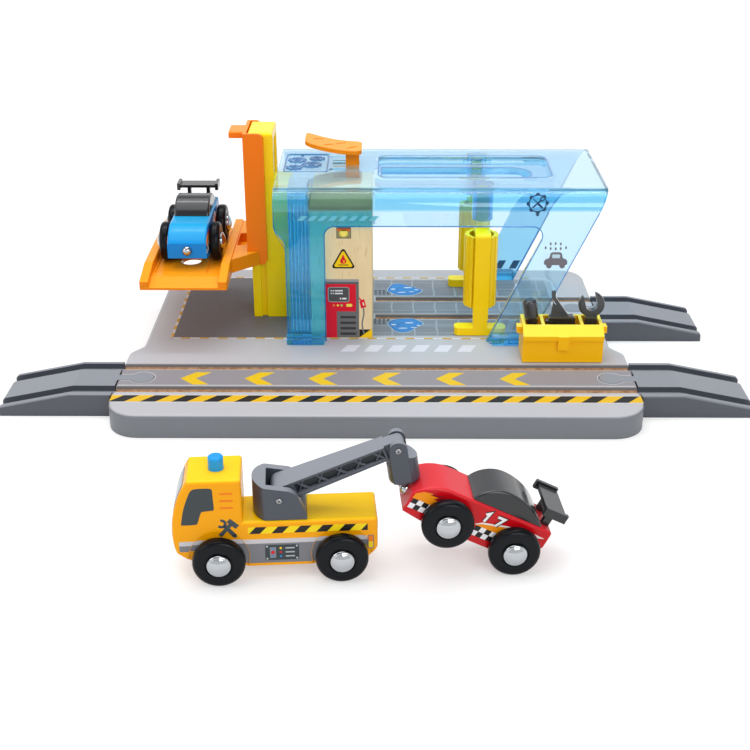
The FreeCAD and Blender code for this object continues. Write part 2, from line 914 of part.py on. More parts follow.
def slot_outline(x, y):
    """A slot with a square left end and a round right end."""
    half = (y[1] - y[0]) / 2
    middle = (y[0] + y[1]) / 2
    return [
        Corner(x[0], y[0]),
        Corner(x[1] - half, y[0]),
        Via(x[1], middle),
        Corner(x[1] - half, y[1]),
        Corner(x[0], y[1]),
    ]


def wash_places():
    """The Y of each brush axis with the way from it to its foot."""
    return (("front", S.rear_track_y - S.wash_offset, -1), ("rear", S.rear_track_y + S.wash_offset, 1))


def post_bore():
    """The radius of the bore that takes a brush post."""
    return S.wash_post_wide / 2 + S.slide_gap + S.wash_post_thick / 4


def canopy_sockets(piece):
    """The two tubes under the roof that hold the brush posts, and the ribs by the block."""
    roof = S.canopy_top - S.canopy_wall
    bore = post_bore()
    for _, middle, _ in wash_places():
        centre = (S.wash_x, middle)
        piece.cylinder("Z", centre, bore + S.wash_socket_wall, S.wash_socket_low, roof + S.canopy_wall / 2)
        piece.cylinder("Z", centre, bore, S.wash_socket_low - S.overcut, roof, cut=True)
    inside = (S.canopy_front + S.canopy_wall / 2, S.canopy_front + S.canopy_wall + S.canopy_rib_deep)
    left_rib = S.block_left - S.slide_gap
    right_rib = S.block_left + S.block_wide + S.slide_gap
    high = roof + S.canopy_wall / 2
    piece.box((left_rib - S.canopy_rib_thick, left_rib), inside, (S.canopy_rib_low, high))
    piece.box((right_rib, right_rib + S.canopy_rib_thick), inside, (S.canopy_rib_low, high))


def ribbed_column():
    """The clear column behind the left leg, with upright flutes front and back."""
    x = (S.column_left, S.column_left + S.column_wide)
    y = (S.column_front, S.column_front + S.column_deep)
    z = (S.board_thick + S.seat_gap, S.canopy_top - S.canopy_wall - S.seat_gap)
    piece = Piece("ribbed_column")
    piece.box(x, y, z)
    count = SIZES["column_flutes"]
    flutes = []
    for number in range(count):
        across = x[0] + S.column_wide * (number + 0.5) / S.column_flutes
        flutes.append(Ring(across, y[0], S.column_flute_radius))
        flutes.append(Ring(across, y[1], S.column_flute_radius))
    piece.pad("XY", flutes, z[0] - S.overcut, z[1] + S.overcut, cut=True)


def fuel_block():
    """The beech block with the pump print, slotted on top for the paddle's post."""
    x = (S.block_left, S.block_left + S.block_wide)
    y = (S.block_front, S.block_front + S.block_deep)
    piece = Piece("fuel_block")
    piece.box(x, y, (S.board_thick + S.seat_gap, S.block_top))
    piece.round(S.block_edge, lambda edge, middle: along(edge, "z") or near(middle.z, S.block_top))
    slot_x, slot_y = post_slot()
    low = S.block_top - S.paddle_post_sunk - S.slide_gap
    piece.box(slot_x, slot_y, (low, S.block_top + S.overcut), cut=True)


def paddle():
    """The launch paddle: a bowed plate with slanted treads on a flat post."""
    left, right = S.paddle_left, S.paddle_left + S.paddle_long
    low, thick, rise = S.paddle_low, S.paddle_thick, S.paddle_rise
    middle = (left + right) / 2
    post_x = (S.paddle_post_left, S.paddle_post_left + S.paddle_post_wide)
    post_y = (S.paddle_post_front, S.paddle_post_front + S.paddle_post_deep)
    centre = (post_y[0] + post_y[1]) / 2
    plate_y = (centre - S.paddle_wide / 2, centre + S.paddle_wide / 2)
    piece = Piece("paddle")
    plate = [
        Corner(left, low + rise),
        Via(middle, low + rise / 2 - S.paddle_sag),
        Corner(right, low),
        Corner(right, low + thick),
        Via(middle, low + thick + rise / 2 - S.paddle_sag),
        Corner(left, low + rise + thick),
    ]
    piece.pad("XZ", [plate], plate_y[0], plate_y[1])
    piece.round(S.paddle_round, lambda edge, spot: along(edge, "z"))
    piece.box(post_x, post_y, (S.block_top - S.paddle_post_sunk, low + thick / 2))
    slant = S.paddle_wide / 4
    step = 1 / (S.paddle_treads + 1)
    for number in range(SIZES["paddle_treads"]):
        share = (S.paddle_tread_lead + number) * step
        start = left + S.paddle_long * share
        groove_y = plate_y[0] + S.paddle_wide / 4 if number % 2 else centre + S.paddle_wide / 16
        height = low + thick + rise * (1 - share - step) - S.paddle_sag - S.paddle_tread_deep
        groove = [
            Corner(start, groove_y),
            Corner(start + slant / 4, groove_y),
            Corner(start + slant * 5 / 4, groove_y + slant),
            Corner(start + slant, groove_y + slant),
        ]
        piece.pad("XY", [groove], height, low + rise + thick + S.overcut, cut=True)


def tower_slot():
    low = S.tower_left + S.tower_slot_inset
    return low, low + S.tower_slot_wide


def lift_tower():
    """The yellow tower: a wide foot, a narrow top and an upright guide slot in front."""
    left = S.tower_left
    y = (S.tower_front, S.tower_front + S.tower_deep)
    piece = Piece("lift_tower")
    piece.box((left, left + S.tower_wide), y, (S.board_thick + S.seat_gap, S.tower_step))
    piece.box((left, left + S.tower_upper_wide), y, (S.tower_step - S.tower_round, S.tower_top))
    piece.round(S.tower_round, lambda edge, middle: near(middle.z, S.tower_top))
    slot = tower_slot()
    inside = (y[0] - S.overcut, y[0] + S.tower_slot_deep)
    piece.box(slot, inside, (S.board_thick, S.tower_top - S.tower_slot_inset), cut=True)
    panel_y = (y[0] + S.tower_slot_inset, y[1] - S.tower_slot_inset)
    panel_x = left + S.tower_upper_wide
    panel_z = (S.tower_step + S.tower_round, S.tower_top - S.tower_slot_inset)
    piece.box((panel_x - S.tower_slot_deep / 2, panel_x + S.overcut), panel_y, panel_z, cut=True)


def platform_low():
    """The underside of the raised lift: its travel above the board."""
    return S.board_thick + S.slide_gap + S.lift_travel


def lift_carriage():
    """The orange sleeve that runs up and down the tower, with its handle tab."""
    gap, thick = S.slide_gap, S.carriage_thick
    low, top = platform_low(), S.tower_top
    inner = S.tower_left - gap
    front = S.tower_front - gap
    back = S.tower_front + S.tower_deep + gap
    outer = inner - thick
    piece = Piece("lift_carriage")
    front_x = (outer, inner + S.carriage_front_wide)
    back_x = (outer, inner + S.carriage_back_wide)
    corner = S.carriage_round
    face = [
        Corner(front_x[0], low),
        Corner(front_x[1], low, corner),
        Corner(front_x[1], top, corner),
        Corner(front_x[0], top),
    ]
    rear = [
        Corner(back_x[0], low),
        Corner(back_x[1], low, corner),
        Corner(back_x[1], top, corner),
        Corner(back_x[0], top),
    ]
    piece.box((outer, inner), (front - thick, back + thick), (low, top))
    piece.pad("XZ", [face], front - thick, front)
    piece.pad("XZ", [rear], back, back + thick)
    slot = tower_slot()
    tongue_y = (front - thick / 2, S.tower_front + S.tower_slot_deep - gap)
    tongue_z = (low + corner, top - S.tower_slot_inset - gap)
    piece.box((slot[0] + gap, slot[1] - gap), tongue_y, tongue_z)
    tab_y = (S.handle_front, S.handle_front + S.handle_wide)
    tab = rectangle((inner - thick / 2 - S.handle_long, inner), tab_y)
    piece.pad("XY", [tab], top - S.handle_thick, top)
    piece.round(S.carriage_thick / 2, lambda edge, middle: along(edge, "x") and middle.x < outer.value
                and near(middle.z, S.tower_top))


def platform_span():
    half = S.platform_wide / 2
    return S.platform_centre - half, S.platform_centre + half


def lift_platform():
    """The orange deck that carries a car, with rails, wheel channels and its arm."""
    left, right = platform_span()
    front, back = S.platform_front, S.platform_front + S.platform_long
    low, rail = platform_low(), S.platform_rail_wide
    floor, rail_top = low + S.platform_thick, low + S.platform_rail_high
    piece = Piece("lift_platform")
    deck = [
        Corner(front, low),
        Corner(back, low),
        Corner(back, floor),
        Corner(front + S.platform_lead, floor),
        Corner(front, low + S.platform_lip),
    ]
    piece.pad("YZ", [deck], left, right)
    side = [
        Corner(front, low),
        Corner(back, low),
        Corner(back, rail_top),
        Corner(front + S.platform_rail_slope, rail_top, S.platform_rail_slope),
        Corner(front, low + S.platform_rail_nose),
    ]
    piece.pad("YZ", [side], left, left + rail)
    piece.pad("YZ", [side], right - rail, right)
    piece.round(S.carriage_thick / 2, lambda edge, middle: along(edge, "z") and near(middle.y, front))
    piece.round(S.carriage_thick / 3, lambda edge, middle: along(edge, "y") and near(middle.z, rail_top))
    spread = S.wheel_inner + S.wheel_wide / 2
    channel_y = (S.platform_channel_start, back + S.overcut)
    channel_z = (floor - S.platform_channel_deep, floor + S.overcut)
    for way in (-1, 1):
        middle = S.platform_centre + way * spread
        across = S.platform_channel_wide / 2
        piece.box((middle - across, middle + across), channel_y, channel_z, cut=True)
    hole_low = S.platform_hole_front
    hole_x = (S.platform_centre - S.platform_hole_wide / 2, S.platform_centre + S.platform_hole_wide / 2)
    hole_y = (hole_low, hole_low + S.platform_hole_long)
    hole = rectangle(hole_x, hole_y, S.platform_hole_wide / 2 - S.seat_gap)
    piece.pad("XY", [hole], low - S.overcut, floor + S.overcut, cut=True)
    platform_arm(piece, right, back)


def platform_arm(piece, right, back):
    """The block between the deck and the carriage, with its shallow pocket."""
    low, top = platform_low(), platform_low() + S.arm_high
    wall = S.tower_left - S.slide_gap - S.carriage_thick - S.seat_gap
    front_face = S.tower_front - S.slide_gap - S.carriage_thick - S.seat_gap
    inside = right - S.platform_rail_wide / 2
    arm = [
        Corner(inside, S.arm_front),
        Corner(right, S.arm_front),
        Corner(right + S.arm_reach, front_face),
        Corner(wall, front_face),
        Corner(wall, back),
        Corner(inside, back),
    ]
    piece.pad("XY", [arm], low, top)
    pocket_right = wall - S.carriage_thick + S.seat_gap
    pocket_x = (pocket_right - S.arm_pocket_wide, pocket_right)
    pocket_y = (S.arm_pocket_front, S.arm_pocket_front + S.arm_pocket_long)
    piece.box(pocket_x, pocket_y, (top - S.arm_pocket_deep, top + S.overcut), cut=True)


def reach(middle, way, low, high):
    """A span between two distances from a middle, to the minus or plus side."""
    return (middle + low, middle + high) if way > 0 else (middle - high, middle - low)


def wash_brush(side, middle, way):
    """One brush: bracket with foot, bar, arm and post, a spindle and a fluted roller."""
    x, gap, bar = S.wash_x, S.slide_gap, S.wash_bar_thick
    clear = S.roller_radius + 2 * gap
    far = clear + bar
    shelf_top = S.roller_low - gap
    shelf_low = shelf_top - S.wash_shelf_thick
    arm_low = S.roller_top + gap
    arm_top = arm_low + S.wash_arm_thick
    ground = S.board_thick + S.seat_gap
    neck = (x - S.wash_neck_wide / 2, x + S.wash_neck_wide / 2)
    bar_x = (x - S.wash_bar_wide / 2, x + S.wash_bar_wide / 2)
    past = S.spindle_radius * 2
    bracket = Piece("%s_brush_bracket" % side)
    foot_x = (x - S.wash_foot_wide / 2, x + S.wash_foot_wide / 2)
    foot_y = reach(middle, way, far - S.wash_foot_deep, far)
    bracket.pad("XY", [rectangle(foot_x, foot_y, S.wash_foot_round)], ground, ground + S.wash_foot_high)
    bracket.box(neck, reach(middle, way, far - S.wash_foot_deep, far), (ground + gap, shelf_top))
    bracket.box(neck, reach(middle, way, -past, far), (shelf_low, shelf_top))
    bracket.box(bar_x, reach(middle, way, clear, far), (shelf_low, arm_top))
    bracket.box(bar_x, reach(middle, way, -past, far), (arm_low, arm_top))
    outer = reach(middle, way, far, far)[0].value
    bracket.round(S.wash_arm_round, lambda edge, spot: along(edge, "x") and abs(spot.y - outer) < NEAR
                  and near(spot.z, arm_top))
    post_x = (x - S.wash_post_wide / 2, x + S.wash_post_wide / 2)
    post_y = (middle - S.wash_post_thick / 2, middle + S.wash_post_thick / 2)
    bracket.box(post_x, post_y, (arm_top - gap, S.wash_post_top))
    low, high = shelf_low + S.spindle_floor, arm_low + S.wash_arm_thick / 2
    bore = S.spindle_radius + S.pin_gap
    bracket.cylinder("Z", (x, middle), bore, low - S.pin_gap, high + S.pin_gap, cut=True)
    Piece("%s_brush_spindle" % side).cylinder("Z", (x, middle), S.spindle_radius, low, high)
    brush_roller("%s_brush_roller" % side, middle, bore)


def brush_roller(label, middle, bore):
    """A hollow roller, fluted outside, that turns on its spindle."""
    centre = (S.wash_x, middle)
    low, top = S.roller_low, S.roller_top
    roller = Piece(label)
    roller.cylinder("Z", centre, S.roller_radius, low, top)
    roller.cylinder("Z", centre, S.roller_bore, low + S.roller_floor, top + S.overcut, cut=True)
    roller.cylinder("Z", centre, S.roller_hub, low, top - S.roller_bore)
    roller.cylinder("Z", centre, bore, low - S.overcut, top + S.overcut, cut=True)
    flutes = []
    for number in range(SIZES["roller_flutes"]):
        angle = Size.of(FULL_TURN * (number + 0.5)) / S.roller_flutes
        x = centre[0] + S.roller_radius * cosine(angle)
        y = centre[1] + S.roller_radius * sine(angle)
        flutes.append(Ring(x, y, S.roller_flute_radius))
    roller.pad("XY", flutes, low - S.overcut, top + S.overcut, cut=True)


def toolbox_ends():
    """The low and high X of the tool box, set in from the board's right end."""
    right = S.board_front_half - S.toolbox_inset
    return right - S.toolbox_wide, right


def toolbox_bays():
    """The low and high X of the three bays, and their shared Y."""
    left, right = toolbox_ends()
    wall, small = S.toolbox_wall, S.toolbox_small_bay
    first = (left + wall, left + wall + small)
    last = (right - wall - small, right - wall)
    middle = (first[1] + wall, last[0] - wall)
    front = S.toolbox_front - S.toolbox_lip + S.toolbox_lid_deep + wall
    return (first, middle, last), (front, S.toolbox_front + S.toolbox_deep - wall)


def toolbox_ground():
    return S.board_thick + S.slide_gap


def toolbox():
    """The yellow tool box with three bays, a sloping lip, a latch and two side knobs."""
    left, right = toolbox_ends()
    front, back = S.toolbox_front, S.toolbox_front + S.toolbox_deep
    low = toolbox_ground()
    top = low + S.toolbox_high
    lip_low = low + S.toolbox_lip_low
    piece = Piece("toolbox")
    section = [
        Corner(front, low),
        Corner(back, low),
        Corner(back, top),
        Corner(front - S.toolbox_lip + S.toolbox_lid_deep, top),
        Corner(front - S.toolbox_lip, lip_low + S.toolbox_lip_high),
        Corner(front - S.toolbox_lip, lip_low),
        Corner(front, lip_low),
    ]
    piece.pad("YZ", [section], left, right)
    bays, across = toolbox_bays()
    for bay in bays:
        piece.box(bay, across, (low + S.toolbox_floor, top + S.overcut), cut=True)
    middle = (front + back) / 2
    knob_y = (middle - S.toolbox_knob / 2, middle + S.toolbox_knob / 2)
    knob_z = (low + S.toolbox_knob_low, low + S.toolbox_knob_low + S.toolbox_knob_high)
    inset = S.toolbox_wall / 2
    piece.box((left - S.toolbox_knob_out, left + inset), knob_y, knob_z)
    piece.box((right - inset, right + S.toolbox_knob_out), knob_y, knob_z)
    centre = (left + right) / 2
    latch_x = (centre - S.toolbox_latch_wide / 2, centre + S.toolbox_latch_wide / 2)
    latch_top = lip_low + S.toolbox_lip_high
    latch_z = (latch_top - S.toolbox_latch_high, latch_top)
    piece.box(latch_x, (front - S.toolbox_latch_out, front + inset), latch_z)


def tool_places():
    """The foot of each tool: the middle of its bay, just above the floor."""
    bays, across = toolbox_bays()
    height = toolbox_ground() + S.toolbox_floor + S.slide_gap
    return [((bay[0] + bay[1]) / 2, (across[0] + across[1]) / 2, height) for bay in bays]


def screwdriver(place):
    """The stubby driver, point down: a fat rounded handle, a cone and a thin shank, leaning a little."""
    piece = Piece("screwdriver")
    shank = S.driver_shank_long
    cone = shank + S.driver_cone_long
    top = cone + S.driver_handle_long
    piece.cylinder("Z", (0, 0), S.driver_shank_radius, 0, shank)
    piece.cone((0, 0), S.driver_collar_radius, S.driver_handle_radius, shank, cone)
    piece.cylinder("Z", (0, 0), S.driver_handle_radius, cone, top)
    piece.round(S.driver_round, lambda edge, middle: near(middle.z, top))
    x, y, z = place
    lean = S.driver_shank_long * sine(S.driver_tilt)
    sink = S.driver_shank_radius * sine(S.driver_tilt)
    piece.place((x + lean, y, z + sink), pitch=-S.driver_tilt)


def jack(place):
    """The jack: a box with a recess in both faces, a side knob, a bent crank rod and a plate behind it."""
    half, thick, bar = S.jack_wide / 2, S.jack_thick / 2, S.jack_bar
    top, rod = S.jack_high, S.jack_rod
    piece = Piece("jack")
    case = [
        Corner(-half, 0),
        Corner(half, 0),
        Corner(half, top, S.jack_round),
        Corner(-half, top, S.jack_round),
    ]
    piece.pad("XZ", [case], -thick, thick)
    panel = rectangle((-half + bar, half - bar), (bar, top - bar), S.jack_round / 2)
    for way in (-1, 1):
        face = reach(Size.of(0), way, thick - S.jack_recess, thick + S.overcut)
        piece.pad("XZ", [panel], *face, cut=True)
    knob = top - S.jack_knob_drop
    piece.cylinder("X", (0, knob), S.jack_knob_radius, -half - S.jack_knob_out, -half + bar / 2)
    foot, seat, peak = half - S.jack_rod_inset, top - bar / 2, top + S.jack_rod_rise
    left = foot - S.jack_rod_lean
    crank = [
        Corner(foot, seat),
        Corner(foot + S.jack_rod_foot, seat),
        Corner(left + rod, peak, rod / 2),
        Corner(left + rod, peak + S.jack_hook),
        Corner(left, peak + S.jack_hook),
        Corner(left, peak, rod / 2),
    ]
    piece.pad("XZ", [crank], -rod / 2, rod / 2)
    plate = [
        Corner(-half + bar / 2, seat),
        Corner(foot + S.jack_rod_foot / 2, seat),
        Corner(left + rod / 2, top + S.jack_plate_high),
    ]
    piece.pad("XZ", [plate], -rod / 4, rod / 4)
    piece.place(place)


def wrench(place):
    """The open-ended wrench, jaws up and turned a little to the left."""
    half, thick, jaw = S.wrench_shaft / 2, S.wrench_thick / 2, S.wrench_jaw
    centre = S.wrench_shaft_long + S.wrench_jaw_seat
    piece = Piece("wrench")
    piece.cylinder("Y", (0, centre), jaw, -thick, thick)
    piece.round(S.wrench_round, lambda edge, middle: near(abs(middle.y), thick))
    piece.box((-half, half), (-thick, thick), (0, S.wrench_shaft_long + jaw / 4))
    mouth = S.wrench_mouth / 2
    across, up = cosine(S.wrench_turn), sine(S.wrench_turn)

    def turned(point, side, height):
        return point(side * across - height * up, centre + side * up + height * across)

    slot = [
        turned(Corner, -mouth, 2 * jaw),
        turned(Corner, -mouth, Size.of(0)),
        turned(Via, Size.of(0), -mouth),
        turned(Corner, mouth, Size.of(0)),
        turned(Corner, mouth, 2 * jaw),
    ]
    piece.pad("XZ", [slot], -thick - S.overcut, thick + S.overcut, cut=True)
    piece.place(place)


class Stand:
    """Where a vehicle's own frame stands in the garage's frame."""

    def __init__(self, origin, yaw, pitch=0.0):
        self.origin = [Size.of(c) for c in origin]
        self.yaw = Size.of(yaw)
        self.pitch = Size.of(pitch)

    def place(self, piece):
        piece.place(self.origin, yaw=self.yaw, pitch=self.pitch)

    def at(self, forward, height):
        """The garage-frame point of a place on an unpitched vehicle's centre line."""
        x, y, z = self.origin
        return x + cosine(self.yaw) * forward, y + sine(self.yaw) * forward, z + height


def wheelset(prefix, stand, place, height):
    """An axle, its two wheels and their two chrome caps."""
    inner, outer = S.wheel_inner, S.wheel_inner + S.wheel_wide
    centre = (place, height)
    seat = outer - S.hub_sunk
    ends = seat - S.pin_gap * 2
    axle = Piece("%s_axle" % prefix).cylinder("Y", centre, S.axle_radius, -ends, ends)
    wheels = Piece("%s_wheels" % prefix)
    for way in (-1, 1):
        wheels.cylinder("Y", centre, S.wheel_radius, *reach(Size.of(0), way, inner, outer))
    wheels.round(S.wheel_round, lambda edge, middle: near(edge.Length, 2 * math.pi * S.wheel_radius))
    for way in (-1, 1):
        zero = Size.of(0)
        boss = (inner - S.slide_gap, inner + S.wheel_dish_deep)
        wheels.cylinder("Y", centre, S.wheel_boss_radius, *reach(zero, way, *boss))
        dish = (outer - S.wheel_dish_deep, outer + S.overcut)
        wheels.cylinder("Y", centre, S.wheel_dish_radius, *reach(zero, way, *dish), cut=True)
        recess = (seat - S.pin_gap, outer + S.overcut)
        wheels.cylinder("Y", centre, S.hub_radius + S.pin_gap, *reach(zero, way, *recess), cut=True)
        bore = (inner - S.overcut, seat)
        wheels.cylinder("Y", centre, S.axle_radius + S.pin_gap, *reach(zero, way, *bore), cut=True)
    hubs = Piece("%s_hubs" % prefix)
    for way in (-1, 1):
        hubs.cylinder("Y", centre, S.hub_radius, *reach(Size.of(0), way, seat, outer + S.hub_out))
    face = outer + S.hub_out
    hubs.round(S.hub_round, lambda edge, middle: near(abs(middle.y), face))
    for piece in (axle, wheels, hubs):
        stand.place(piece)


def car(prefix, stand):
    """A sporty car: body, cabin glass, spoiler, nose magnet and two wheelsets."""
    half, deck = S.car_wide / 2, S.car_deck
    body = Piece("%s_body" % prefix)
    side = [
        Corner(-S.car_nose, S.car_nose_high),
        Corner(-S.car_chin, S.car_chin_high),
        Corner(-S.car_belly_front, -S.car_belly),
        Corner(S.car_tail_low, -S.car_belly),
        Corner(S.car_tail, S.car_belly),
        Corner(S.car_tail, deck, S.car_corner_round),
        Corner(-S.car_hood, deck),
        Via(-S.car_brow, S.car_brow_high),
    ]
    body.pad("XZ", [side], -half, half)
    nose = S.car_nose_high.value
    body.round(S.car_edge_round, lambda edge, middle: near(abs(middle.y), half) and middle.z > nose)
    outside = half + S.overcut
    for along_axle in (-S.car_wheelbase, Size.of(0)):
        body.cylinder("Y", (along_axle, 0), S.axle_radius + S.pin_gap, -outside, outside, cut=True)
    ball = (-S.nose_ball_along, 0, S.nose_ball_height)
    body.ball(ball, S.nose_ball_radius + S.pin_gap, cut=True)
    magnet = Piece("%s_nose_magnet" % prefix).ball(ball, S.nose_ball_radius)
    cabin = car_cabin(prefix, half)
    spoiler = car_spoiler(prefix)
    for piece in (body, magnet, cabin, spoiler):
        stand.place(piece)
    wheelset("%s_front" % prefix, stand, -S.car_wheelbase, 0)
    wheelset("%s_rear" % prefix, stand, Size.of(0), 0)


def car_cabin(prefix, half):
    """The black cabin: a low glass dome almost as wide as the car."""
    base = S.car_deck + S.seat_gap
    cabin = Piece("%s_cabin" % prefix)
    arc = [
        Corner(S.cabin_rear, base),
        Via(-S.cabin_slope, base + S.cabin_slope_high),
        Corner(-S.cabin_crown, base + S.cabin_high),
        Via(-S.cabin_shoulder, base + S.cabin_shoulder_high),
        Corner(-S.cabin_front, base),
    ]
    side = half - S.cabin_inset
    cabin.pad("XZ", [arc], -side, side)
    seat = base.value + NEAR
    cabin.round(S.car_edge_round, lambda edge, middle: near(abs(middle.y), side) and middle.z > seat)
    return cabin


def car_spoiler(prefix):
    """The tail wing on two struts, with a plate at each end."""
    front, low = S.spoiler_front, S.spoiler_low
    half, plate = S.spoiler_wide / 2, S.spoiler_plate_thick
    rear = front + S.spoiler_chord
    spoiler = Piece("%s_spoiler" % prefix)
    spoiler.box((front, rear), (-half, half), (low, low + S.spoiler_thick))
    centre = low + S.spoiler_thick / 2
    plate_z = (centre - S.spoiler_plate_high / 2, centre + S.spoiler_plate_high / 2)
    for way in (-1, 1):
        across = reach(Size.of(0), way, half - plate, half)
        spoiler.box((rear - S.spoiler_plate_long, rear), across, plate_z)
        middle = way * S.spoiler_strut_spread / 2
        strut_x = (S.cabin_rear + S.slide_gap, S.cabin_rear + S.slide_gap + S.spoiler_strut_long)
        strut_y = (middle - S.spoiler_strut_thick / 2, middle + S.spoiler_strut_thick / 2)
        spoiler.box(strut_x, strut_y, (S.car_deck + S.seat_gap, centre))
    return spoiler


def truck_body(stand):
    """The orange truck: cab in front, flat deck behind, bores for beacon, turret and axles."""
    half, deck, roof = S.truck_wide / 2, S.truck_deck, S.truck_roof
    body = Piece("truck_body")
    side = [
        Corner(S.cab_rear, roof, S.truck_edge_round),
        Corner(-S.truck_roof_front, roof),
        Via(-S.truck_brow, S.truck_brow_high),
        Corner(-S.truck_nose, S.truck_bumper_high),
        Corner(-S.truck_chin, S.truck_chin_high),
        Corner(-S.truck_belly_front, S.truck_skirt_high),
        Corner(S.truck_belly_front, S.truck_belly),
        Corner(S.truck_belly_rear, S.truck_belly),
        Corner(S.truck_skirt_rear, S.truck_skirt_high),
        Corner(S.truck_tail, S.truck_tail_low),
        Corner(S.truck_tail, deck, S.truck_edge_round),
        Corner(S.cab_rear, deck),
    ]
    body.pad("XZ", [side], -half, half)
    top = deck.value - NEAR
    body.round(S.truck_edge_round, lambda edge, middle: near(abs(middle.y), half) and middle.z > top)
    for along_axle in (Size.of(0), S.truck_wheelbase):
        for way in (-1, 1):
            well = reach(Size.of(0), way, half - S.truck_well_deep, half + S.overcut)
            body.cylinder("Y", (along_axle, S.wheel_radius), S.truck_well_radius, *well, cut=True)
        bore = S.axle_radius + S.pin_gap
        body.cylinder("Y", (along_axle, S.wheel_radius), bore, -half - S.overcut, half + S.overcut, cut=True)
    beacon_low = roof - S.beacon_sunk - S.seat_gap
    body.cylinder("Z", (0, 0), S.beacon_radius + S.pin_gap, beacon_low, roof + S.overcut, cut=True)
    pivot_low = deck - S.turret_pivot_deep - S.slide_gap
    pivot_bore = S.turret_pivot_radius + S.pin_gap
    body.cylinder("Z", (S.turret_x, 0), pivot_bore, pivot_low, deck + S.overcut, cut=True)
    beacon = Piece("beacon")
    beacon.cylinder("Z", (0, 0), S.beacon_radius, roof - S.beacon_sunk, roof + S.beacon_high)
    beacon.round(S.beacon_radius / 3, lambda edge, middle: near(middle.z, roof + S.beacon_high))
    stand.place(body)
    stand.place(beacon)


def turret(stand):
    """The grey cheeks that turn on the deck and hold the boom's root."""
    x, half, gap = S.turret_x, S.turret_wide / 2, S.slide_gap
    low = S.truck_deck + gap
    floor = low + S.turret_floor
    corner, front = x - S.turret_corner, x + S.turret_front
    inner = S.boom_wide / 2 + gap
    piece = Piece("turret")
    plan = [
        Corner(front, -half),
        Corner(front, half),
        Corner(corner, half),
        Via(x - S.turret_back, 0),
        Corner(corner, -half),
    ]
    crest = S.turret_back_top + S.overcut
    piece.pad("XY", [plan], low, crest)
    piece.round(S.turret_corner_round, lambda edge, middle: along(edge, "z") and near(middle.x, corner))
    ahead, above = front + S.overcut, crest + S.overcut
    behind = x - S.turret_back - S.overcut
    slope = (S.turret_back_top - S.turret_brow_high) / (S.turret_back + S.turret_brow)
    brow = [
        Corner(behind, S.turret_back_top + slope * S.overcut),
        Corner(x + S.turret_brow, S.turret_brow_high),
        Via(x + S.turret_bend, S.turret_bend_high),
        Corner(x + S.turret_slope, S.turret_slope_high),
        Corner(front, S.turret_nose_high),
        Corner(ahead, S.turret_nose_high),
        Corner(ahead, above),
        Corner(behind, above),
    ]
    piece.pad("XZ", [brow], -half - S.overcut, half + S.overcut, cut=True)
    piece.box((x - S.turret_slot, ahead), (-inner, inner), (floor, above), cut=True)
    piece.cylinder("Z", (x, 0), S.turret_pivot_radius, S.truck_deck - S.turret_pivot_deep, floor)
    bore = S.boom_pin_radius + S.pin_gap
    piece.cylinder("Y", (x, S.boom_pivot_high), bore, -half - S.overcut, half + S.overcut, cut=True)
    ends = half - S.seat_gap
    pin = Piece("boom_pin").cylinder("Y", (x, S.boom_pivot_high), S.boom_pin_radius, -ends, ends)
    stand.place(piece)
    stand.place(pin)


def boom_web_high(place):
    """Half the height between the boom's two flanges at a place along it."""
    taper = (S.boom_high - S.boom_tip_high) / 2 * place / S.boom_long
    return S.boom_high / 2 - S.boom_flange - taper


def boom_crosses():
    return [S.boom_cross_start + number * S.boom_cross_pitch for number in range(SIZES["boom_crosses"])]


def boom_lattice():
    """The hollows of the lattice: two triangles at each cross, a hexagon between crosses, one at each end."""
    half, bar = S.boom_cross_half, S.boom_bar
    foot = half - bar
    crosses = boom_crosses()
    hollows = []
    for cross in crosses:
        high = boom_web_high(cross)
        for way in (-1, 1):
            peak = Corner(cross, way * high * bar / half)
            hollows.append([peak, Corner(cross - foot, way * high), Corner(cross + foot, way * high)])
    for before, cross in zip(crosses, crosses[1:]):
        left, right = before + half + bar, cross - half - bar
        hollows.append([
            Corner(before + bar, 0),
            Corner(left, -boom_web_high(left)),
            Corner(right, -boom_web_high(right)),
            Corner(cross - bar, 0),
            Corner(right, boom_web_high(right)),
            Corner(left, boom_web_high(left)),
        ])
    for cross, way in ((crosses[0], -1), (crosses[-1], 1)):
        end = cross + way * (half + bar)
        high = boom_web_high(end)
        hollows.append([Corner(cross + way * bar, 0), Corner(end, -high), Corner(end, high)])
    return hollows


